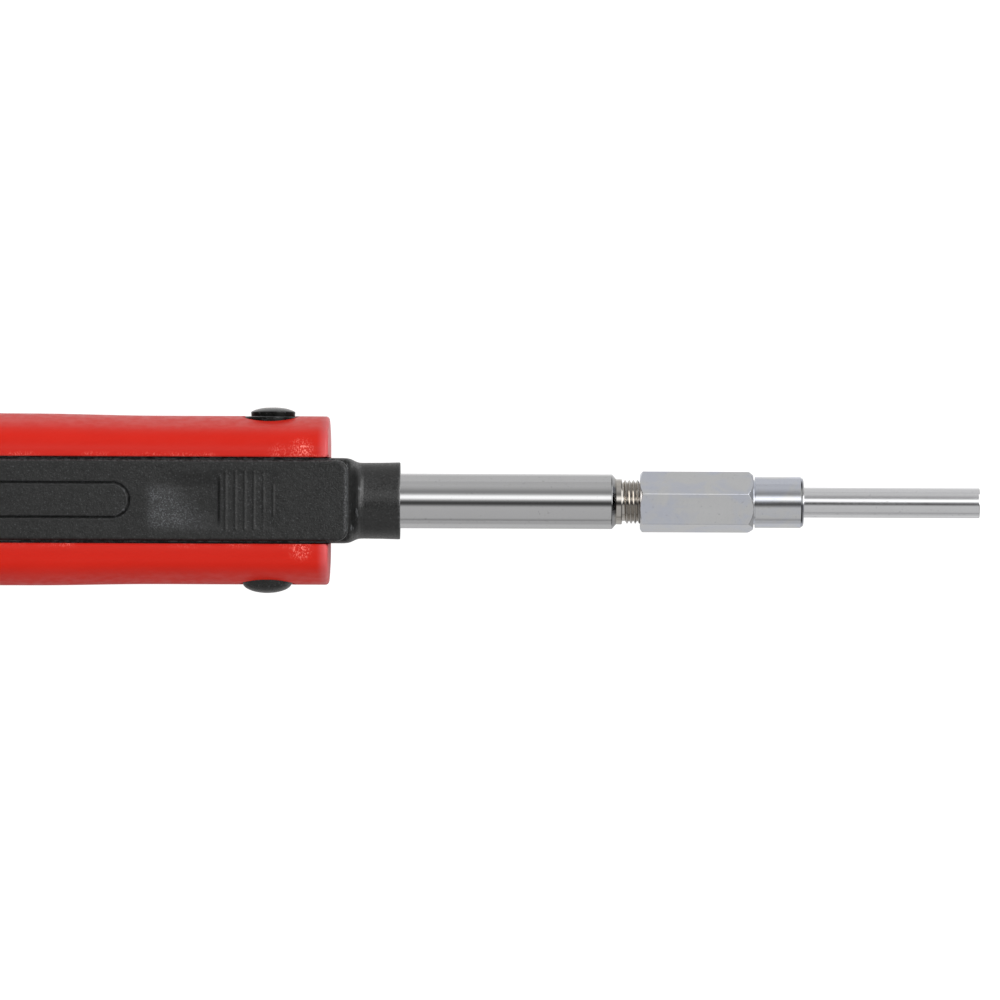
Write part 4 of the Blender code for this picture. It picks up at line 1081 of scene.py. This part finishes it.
def dish_depth(u, y):
    """Thumb dish: its floor slopes down from the rear, low ribs rise out of it in front."""
    if not -19.9 < u < -5.1:
        return 0.0
    y = abs(y)
    scoop = (1 - smoothstep(y, 1.35, 3.42)) * SCOOP_DEPTH * smoothstep(u, -19.85, -15.0)
    ridge = sum(math.exp(-((u - rib_u) / RIB_WIDTH) ** 2)
                * (1 - (1 - share) * smoothstep(y, reach - 0.4, reach))
                for rib_u, share, reach in RIBS)
    ends = 1 - smoothstep(y, 3.05, 3.32)
    floor_depth = ((1 - smoothstep(y, 2.7, 3.42)) * (1 - smoothstep(u, -6.2, -5.1))
                   * RIB_FLOOR_DEPTH)
    ribs = floor_depth - RIB_HEIGHT * min(1.0, ridge) * ends
    return scoop + (ribs - scoop) * smoothstep(u, -11.98, -11.66)


def label_depth(u, y):
    if u >= -20.8:
        return 0.0
    nearest_u = max(LABEL_REAR + LABEL_R, min(LABEL_FRONT - LABEL_R, u))
    off_line = abs(math.hypot(u - nearest_u, y) - LABEL_R)
    return LABEL_DEPTH * (1 - smoothstep(off_line, 0.0, 0.20))


def slide_height(u, y):
    z = SLIDE_TOP - dish_depth(u, y) - label_depth(u, y)
    r = SLIDE_EDGE_R
    inside = rounded_inside(u, y)
    if inside < r:
        z -= r - math.sqrt(max(0.0, r * r - (r - max(0.0, inside)) ** 2))
    return z


def slide_top():
    stations = [SLIDE_REAR + SLIDE_EDGE_R * (1 - math.cos(math.pi / 2 * k / 6))
                for k in range(6)]
    u = SLIDE_REAR + SLIDE_EDGE_R
    while u < 1.65:
        stations.append(u)
        u += next(step for limit, step in STATION_STEPS if u < limit)
    stations += [SLIDE_FRONT - 0.46 + 0.46 * math.sin(math.pi / 2 * k / 12)
                 for k in range(1, 13)]
    rows, r = 132, SLIDE_CORNER_R
    corner_u = SLIDE_FRONT - r
    verts, faces = [], []
    for u in stations:
        half = SLIDE_Y
        if u > corner_u:
            half = SLIDE_Y - r + math.sqrt(max(0.0, r * r - (u - corner_u) ** 2))
        for j in range(rows + 1):
            t = 2 * j / rows - 1
            # rows crowd together towards the rounded side edges
            y = half * (0.62 * t + 0.38 * math.sin(math.pi / 2 * t))
            verts.append((u, y, slide_height(u, y)))
    n, last = rows + 1, len(stations) - 1
    for i in range(last):
        for j in range(rows):
            faces.append((i * n + j, (i + 1) * n + j, (i + 1) * n + j + 1, i * n + j + 1))
    # the rim, dropped to a flat underside
    rim = [i * n for i in range(last + 1)] + [last * n + j for j in range(1, n)]
    rim += [i * n + rows for i in range(last - 1, -1, -1)] + list(range(rows - 1, 0, -1))
    base = len(verts)
    verts += [(verts[i][0], verts[i][1], 15.62) for i in rim]
    m = len(rim)
    for k in range(m):
        j = (k + 1) % m
        faces.append((rim[k], rim[j], base + j, base + k))
    faces.append(tuple(base + k for k in range(m)))
    piece(new_object("top", verts, faces), "thumb_slide_face", GRAINED, "thumb_slide",
          "carriage", sharp=50)


def slide_base():
    inset, r = 0.02, SLIDE_CORNER_R
    corner_u, corner_y = SLIDE_FRONT - inset - r, SLIDE_Y - inset - r
    plan = [(SLIDE_REAR + inset, SLIDE_Y - inset)]
    for k in range(13):
        t = math.pi / 2 * k / 12
        plan.append((corner_u + r * math.sin(t), corner_y + r * math.cos(t)))
    plan = mirrored_plan(plan)
    ob = loft("base", [[(u, y, z) for u, y in plan] for z in (14.5, 15.7)])
    add(ob, block("flange", u=(SLIDE_REAR + 0.1, -1.95), y=(-6.6, 6.6), z=(14.49, 15.9)),
        block("shoulder", u=(SLIDE_REAR + 0.3, 0.75), y=(-4.57, 4.57), z=(15.0, 16.35)))
    cut(ob, block("latch_notch", u=(-10.75, -9.15), y=(-2.3, 2.3), z=(14.0, 15.35)),
        block("neck_pocket", u=(-71.0, -64.0), y=(-1.6, 1.6), z=(14.0, 15.35)),
        rod("screw_hole", 14.8, 16.7, 1.1, 32, "Z", SLIDE_SCREW_AT))
    piece(ob, "thumb_slide_runner", SMOOTH_BLACK, "thumb_slide", "carriage", bevel=0.12)


def mirrored_plan(half):
    """A (u, y) half outline and its mirror image in the middle plane."""
    return half + [(u, -y) for u, y in reversed(half)]


slide_top()
slide_base()


# ================================================================ release buttons
# distance out from y = 9, radius
LEFT_DOME = [
    (1.15, 0.0), (1.145, 0.4), (1.12, 0.8), (1.075, 1.2), (1.00, 1.6), (0.89, 1.95),
    (0.76, 2.25), (0.68, 2.38), (0.62, 2.42), (0.54, 2.42), (0.30, 2.40), (0.05, 2.38),
]
RIGHT_PAD_R = 2.68
RIGHT_DOME = [(1.12 * math.cos(math.pi / 2 * k / 14), RIGHT_PAD_R * math.sin(math.pi / 2 * k / 14))
              for k in range(15)]


def button(side, sign, mat, dome, pad_u, pad_r):
    button_u, group = BUTTON_US[side], side + "_button_group"
    profile = [(9.17, 0.0), (9.17, BUTTON_R - 0.16), (9.12, BUTTON_R - 0.05), (9.05, BUTTON_R),
               (7.28, BUTTON_R), (7.28, 3.22), (7.2, 3.3), (6.68, 3.3), (6.6, 3.22),
               (6.6, 1.85), (8.5, 1.85), (8.5, 0)]
    ob = turned("button", [(sign * y, r) for y, r in profile], 96, "Y", (button_u, BUTTON_Z))
    arm = [(7.0, 12.3), (7.0, 13.2), (5.5, 13.2), (5.5, 14.1), (3.0, 14.1), (3.0, 13.2),
           (3.9, 12.3)]
    add(ob, prism_x("arm", [(sign * y, z) for y, z in arm], -7.9, -5.4))
    # the raised pad on the button's face, slightly off the button's middle
    pad = [(sign * (9.0 + h), r) for h, r in dome] + [(sign * 8.7, pad_r), (sign * 8.7, 0)]
    add(ob, turned("pad", pad, 96, "Y", (pad_u, BUTTON_Z)))
    piece(ob, "button_%s_cap" % side, mat, "button_" + side, group, sharp=40, weighted=True)
    ob = coil("button_spring", sign * 3.36, sign * 8.42, major=1.3, wire=0.2, turns=4,
              axis="Y", centre=(button_u, BUTTON_Z))
    piece(ob, "button_%s_coil" % side, SPRING, "button_spring_" + side, None)
    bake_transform(ob)


def latch_leaf(side, sign):
    """Half of the latch leaf, pressed flat by its own button."""
    path = [(-3.05, 12.55), (-4.95, 12.55), (-5.75, 13.5), (-10.4, 13.5), (-10.4, 14.1),
            (-9.7, 15.1), (-9.35, 15.1), (-9.35, 13.85), (-5.95, 13.85), (-5.15, 12.9),
            (-3.05, 12.9)]
    ob = loft("leaf", [[(u, y, z) for u, z in path] for y in sorted((0.0, 1.9 * sign))])
    wing = [(1.6, 13.57), (1.6, 13.79), (1.98, 13.79), (3.2, 12.6), (2.95, 12.36), (1.96, 13.3)]
    add(ob, prism_x("wing", [(sign * y, z) for y, z in wing], -7.7, -6.0))
    piece(ob, "latch_leaf_%s_half" % side, SPRING, "latch_leaf", "tool", bevel=0.05)
    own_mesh(ob)


button("left", 1, BUTTON_BLACK_LEFT_LIT, LEFT_DOME, pad_u=-6.16, pad_r=2.38)
button("right", -1, BUTTON_BLACK_RIGHT_SHADED, RIGHT_DOME, pad_u=-6.74, pad_r=RIGHT_PAD_R)
for side, sign in SIDES:
    latch_leaf(side, sign)


# ================================================================ clamp nut, nozzle and gland
def nut_hexagon(limit):
    """The nut's hexagon, cut back to the limiting radius."""
    corner_r = NUT_AF / 2 / math.cos(math.radians(30))
    lean = math.radians(6.5)

    def radius(t):
        flat = NUT_AF / 2 / math.cos(centred(t - math.radians(45)))
        # each corner is broken by a narrow flat that leans a little to one side
        off_corner = centred(t - math.radians(75))
        broken = (corner_r * math.cos(lean) - 0.024) / math.cos(off_corner - lean)
        return min(flat, broken, limit)
    return radius


def nut_chamfer(u0, u1, r0, r1, steps):
    return [(u0 + (u1 - u0) * k / steps, nut_hexagon(r0 + (r1 - r0) * k / steps))
            for k in range(steps + 1)]


def clamp_nut():
    profile = nut_chamfer(NUT_U0, NUT_U0 + 0.30, 2.98, 3.50, 10)
    profile += nut_chamfer(NUT_HEX_END - 0.62, NUT_HEX_END - 0.02, 3.50, 2.99, 14)
    # sleeve, its front end, and the bore back to the thread
    profile += [
        (NUT_HEX_END, 2.95), (NUT_HEX_END, SLEEVE_R - 0.34),
        (NUT_HEX_END + 0.17, SLEEVE_R - 0.36), (NUT_HEX_END + 0.20, SLEEVE_R - 0.01),
        (NUT_HEX_END + 0.26, SLEEVE_R), (NUT_HEX_END + 0.34, SLEEVE_R),
        (NUT_END - 0.42, SLEEVE_R), (NUT_END - 0.34, SLEEVE_R),
        (NUT_END - 0.30, SLEEVE_R - 0.02), (NUT_END - 0.28, SLEEVE_R - 0.14),
        (NUT_END - 0.18, SLEEVE_R - 0.16), (NUT_END - 0.15, SLEEVE_R - 0.10),
        (NUT_END - 0.08, SLEEVE_R - 0.22), (NUT_END - 0.02, 2.44), (NUT_END, 2.38),
        (NUT_END, NOZZLE_R + 0.14), (NUT_END - 0.06, NOZZLE_R + 0.06),
        (45.2, NOZZLE_R + 0.06), (44.4, 2.6), (38.6, 2.6),
    ]
    gap = 0.12      # between the stem's thread and the nut's
    skin = Skin(480)
    rings = skin.rings(profile)
    skin.strip(rings)
    front = skin.ring(38.3, ROOT_R + gap)
    rear = skin.ring(34.22, CREST_R + 2 * gap)
    mouth = skin.ring(NUT_U0, CREST_R + 2 * gap + 0.08)
    skin.join(rings[-1], front)
    form = vee(ROOT_R + gap, CREST_R + gap)

    def opened(phase, turn):
        return CREST_R + 2 * gap if turn == 0 else form(phase, turn)

    skin.thread(rear, front, THREAD_X0 + 5 * PITCH, THREAD_TURNS - 4, opened)
    skin.join(rear, mouth)
    skin.join(mouth, rings[0])
    piece(skin.make("nut"), "clamp_nut_hexagon", NUT_STEEL, "clamp_nut", "nut_group", sharp=16)


def nozzle():
    profile = [
        (37.0, 1.05), (37.0, 1.4), (38.65, 1.4), (38.65, 2.12), (38.73, 2.2), (39.52, 2.2),
        (39.6, 2.12), (39.6, NOZZLE_R), (39.9, NOZZLE_R), (TIP_U - 0.14, NOZZLE_R),
        (TIP_U - 0.08, NOZZLE_R), (TIP_U - 0.03, NOZZLE_R - 0.02), (TIP_U, NOZZLE_R - 0.06),
        (TIP_U, NOZZLE_BORE_R + 0.06), (TIP_U - 0.06, NOZZLE_BORE_R), (40.0, NOZZLE_BORE_R),
    ]
    piece(turned("nozzle", profile, 128),
          "nozzle_drawn_tube", TIP_STEEL, "nozzle_tube", "nozzle_group")


def gland():
    profile = [(39.7, NOZZLE_R + 0.06), (39.7, 2.5), (44.3, 2.5), (45.0, 1.9),
               (45.0, NOZZLE_R + 0.06)]
    piece(turned("gland", chamfered(profile, 0.06)),
          "gland_packing", PTFE, "gland_ring", "nozzle_group")


clamp_nut()
nozzle()
gland()

# ================================================================ end cap
# u, inset from the handle's section
CAP_STATIONS = (
    (-102.6, 0.35), (-102.68, 0.12), (-102.85, 0.0), (-103.3, 0.03), (-103.7, 0.12),
    (-104.1, 0.3), (-104.5, 0.58), (-104.85, 0.95), (-105.15, 1.4), (-105.36, 1.95),
    (-105.47, 2.5), (END_U, 3.2),
)


def cap_section(u, inset):
    half_width = width(u)
    half = outline_half(half_width)
    full = [(0.0, 0.0)] + half + [(0.0, HEIGHT)] + [(-y, z) for y, z in reversed(half)]
    scale_y, scale_z = 1 - inset / half_width, 1 - 2 * inset / HEIGHT
    return [(u, y * scale_y, HEIGHT / 2 + (z - HEIGHT / 2) * scale_z) for y, z in full]


def end_cap():
    ob = loft("end_cap", [cap_section(u, inset) for u, inset in CAP_STATIONS])
    plug = [(4.9, 2.1), (6.6, 3.8), (7.0, 6.3), (7.1, 9.0), (7.0, 13.6), (6.5, 13.9),
            (6.5, 15.9), (4.55, 15.9), (4.55, 17.2)]
    add(ob, prism_x("plug", mirrored(plug), -102.9, -99.6))
    # a groove round the plug, leaving a core
    groove = block("groove", u=(-101.45, -100.25), y=(-12, 12), z=(-2, 16.0))
    core = [(-4.0, 2.9), (4.0, 2.9), (6.2, 5.1), (6.2, 12.5), (4.0, 13.0), (4.4, 16.5),
            (-4.4, 16.5), (-4.0, 13.0), (-6.2, 12.5), (-6.2, 5.1)]
    cut(groove, prism_x("core", core, -102.0, -99.9))
    vent = [(-98, 0), (-98, 1.0), (-105.2, 1.0), (-105.6, 1.3), (-107, 1.3), (-107, 0)]
    cut(ob, groove)
    cut(ob, turned("vent", vent, 48))
    piece(ob, "end_cap_moulding", GRAINED, "end_cap", "tool", sharp=35, weighted=True)


end_cap()


# ================================================================ floor
def floor_material():
    """White to the camera; a grey glow of uneven strength to everything else."""
    mat = bpy.data.materials.new("pale_floor")
    mat.use_nodes = True
    mat.node_tree.nodes.clear()
    nodes = Nodes(mat.node_tree)
    emission = nodes.new("ShaderNodeEmission")
    camera_ray = nodes.new("ShaderNodeLightPath").outputs["Is Camera Ray"]
    x, y, _ = nodes.split(nodes.geometry("Position"))

    def along(handle, stem):
        """One value beside the handle, another beside the stem."""
        return nodes.ease(x, between=(metres(-4), metres(4)), to=(handle, stem))

    def strip_beside(distance):
        """1 next to the tool on one side, out to its reach."""
        return nodes.product(
            nodes.ease(distance, between=(0.0015, 0.005)),
            nodes.ease(nodes.math("SUBTRACT", distance, reach),
                       between=(0.0, 0.004), to=(1.0, 0.0)))

    # a little lighter on the tool's +Y side, a little darker on its -Y side
    reach = along(handle=0.030, stem=0.0085)
    lit = strip_beside(y)
    minus_y = nodes.math("MULTIPLY", y, -1.0)
    shade = strip_beside(minus_y)
    glow = nodes.math("ADD", 0.43, nodes.product(lit, along(handle=0.22, stem=0.22)))
    glow = nodes.math("SUBTRACT", glow, nodes.product(shade, along(handle=0.22, stem=0.05)))
    outer_shade = nodes.product(nodes.ease(minus_y, between=(0.018, 0.035)), 0.16)
    glow = nodes.math("SUBTRACT", glow, outer_shade)
    nodes.put(emission.inputs["Strength"],
              nodes.math("MAXIMUM", glow, nodes.product(camera_ray, 0.95)))
    matt = nodes.new("ShaderNodeBsdfDiffuse")
    matt.inputs["Color"].default_value = (0.14, 0.14, 0.14, 1)
    both = nodes.new("ShaderNodeAddShader")
    nodes.link(emission.outputs[0], both.inputs[0])
    nodes.link(matt.outputs[0], both.inputs[1])
    nodes.link(both.outputs[0], nodes.new("ShaderNodeOutputMaterial").inputs[0])
    return mat


def floor():
    mesh = bpy.data.meshes.new("floor")
    mesh.from_pydata([(-3, -3, 0), (3, -3, 0), (3, 3, 0), (-3, 3, 0)], [], [(0, 1, 2, 3)])
    ob = bpy.data.objects.new("floor", mesh)
    bpy.context.scene.collection.objects.link(ob)
    ob.location.z = -0.0002
    mesh.materials.append(floor_material())


floor()

# ================================================================ world
# degrees round the X axis (-90 towards -Y, 0 straight up, 90 towards +Y), brightness
BANDS = (
    (-180, 0.70), (-104, 0.66), (-98, 0.48), (-92, 0.36), (-86, 0.34), (-80, 0.46),
    (-75, 0.55), (-45, 0.56), (-30, 0.58), (-24, 0.55), (-20, 0.38), (-16, 0.18), (-11, 0.07),
    (-6, 0.07), (-2, 0.14), (2, 0.34), (5.5, 0.66), (9, 1.08), (13, 1.50), (17, 1.55),
    (22, 1.36), (26, 0.92), (30, 0.54), (36, 0.33), (42, 0.33), (50, 0.43), (58, 0.53),
    (68, 0.60), (78, 0.58), (90, 0.57), (100, 0.66), (180, 0.70),
)


def band_ramp(nodes, share, brightest):
    """The bands as a ramp over 0..1, scaled so that the brightest is 1."""
    node = nodes.new("ShaderNodeValToRGB")
    elements = node.color_ramp.elements
    stops = [((degrees + 180) / 360, value / brightest) for degrees, value in BANDS]
    for element, (position, grey) in ((elements[0], stops[0]), (elements[1], stops[-1])):
        element.position, element.color = position, (grey, grey, grey, 1)
    for position, grey in stops[1:-1]:
        elements.new(position).color = (grey, grey, grey, 1)
    nodes.link(share, node.inputs[0])
    return node.outputs[0]


def studio_world():
    """Soft bands and a glow from the front for the tool, plain white for the camera."""
    world = bpy.data.worlds.new("studio")
    bpy.context.scene.world = world
    world.use_nodes = True
    world.node_tree.nodes.clear()
    nodes = Nodes(world.node_tree)
    x, y, z = nodes.split(nodes.new("ShaderNodeTexCoord").outputs["Generated"])
    angle = nodes.math("ARCTAN2", y, z)
    share = nodes.math("ADD", nodes.math("DIVIDE", angle, 2 * math.pi), 0.5)
    brightest = max(value for _, value in BANDS)
    bands = band_ramp(nodes, share, brightest)
    # a bright patch high towards +X
    patch = nodes.product(
        nodes.ease(x, between=(0.18, 0.45)), nodes.ease(x, between=(0.95, 0.75)),
        nodes.ease(z, between=(0.1, 0.4)), nodes.ease(y, between=(-0.30, 0.05)))
    banded = nodes.new("ShaderNodeBackground")
    nodes.link(bands, banded.inputs[0])
    banded.inputs[1].default_value = brightest
    glow = nodes.new("ShaderNodeBackground")
    nodes.link(nodes.product(patch, 5.0), glow.inputs[1])
    white = nodes.new("ShaderNodeBackground")
    white.inputs[0].default_value = (1, 1, 1, 1)
    total = nodes.new("ShaderNodeAddShader")
    nodes.link(banded.outputs[0], total.inputs[0])
    nodes.link(glow.outputs[0], total.inputs[1])
    pick = nodes.new("ShaderNodeMixShader")
    camera_ray = nodes.new("ShaderNodeLightPath").outputs["Is Camera Ray"]
    nodes.link(camera_ray, pick.inputs[0])
    nodes.link(total.outputs[0], pick.inputs[1])
    nodes.link(white.outputs[0], pick.inputs[2])
    nodes.link(pick.outputs[0], nodes.new("ShaderNodeOutputWorld").inputs[0])


studio_world()


# ================================================================ lights and camera
def area_light(name, location, width, depth, energy):
    """A rectangular lamp aimed at the origin and left out of reflections."""
    lamp = bpy.data.lights.new(name, "AREA")
    lamp.shape, lamp.size, lamp.size_y, lamp.energy = "RECTANGLE", width, depth, energy
    ob = bpy.data.objects.new(name, lamp)
    ob.location = location
    ob.rotation_euler = Vector(location).to_track_quat("Z", "Y").to_euler()
    ob.visible_glossy = False
    bpy.context.scene.collection.objects.link(ob)


def camera():
    """Looks straight down on the tool."""
    data = bpy.data.cameras.new("camera")
    data.sensor_width, data.lens = 36.0, 296.0
    data.clip_start, data.clip_end = 0.01, 10
    ob = bpy.data.objects.new("camera", data)
    ob.location = (metres(18.64), 0.00014, 0.9 + AXIS_Z / 1000)
    ob.rotation_euler = (0, 0, math.radians(0.236))
    bpy.context.scene.collection.objects.link(ob)
    bpy.context.scene.camera = ob


area_light("overhead", location=(0.0, 0.02, 0.9), width=0.9, depth=0.6, energy=3.6)
area_light("low_fill", location=(0.0, -0.85, 0.40), width=0.9, depth=0.5, energy=3.3)
camera()
bpy.context.scene.view_settings.view_transform = "Standard"
bpy.context.scene.view_settings.look = "None"
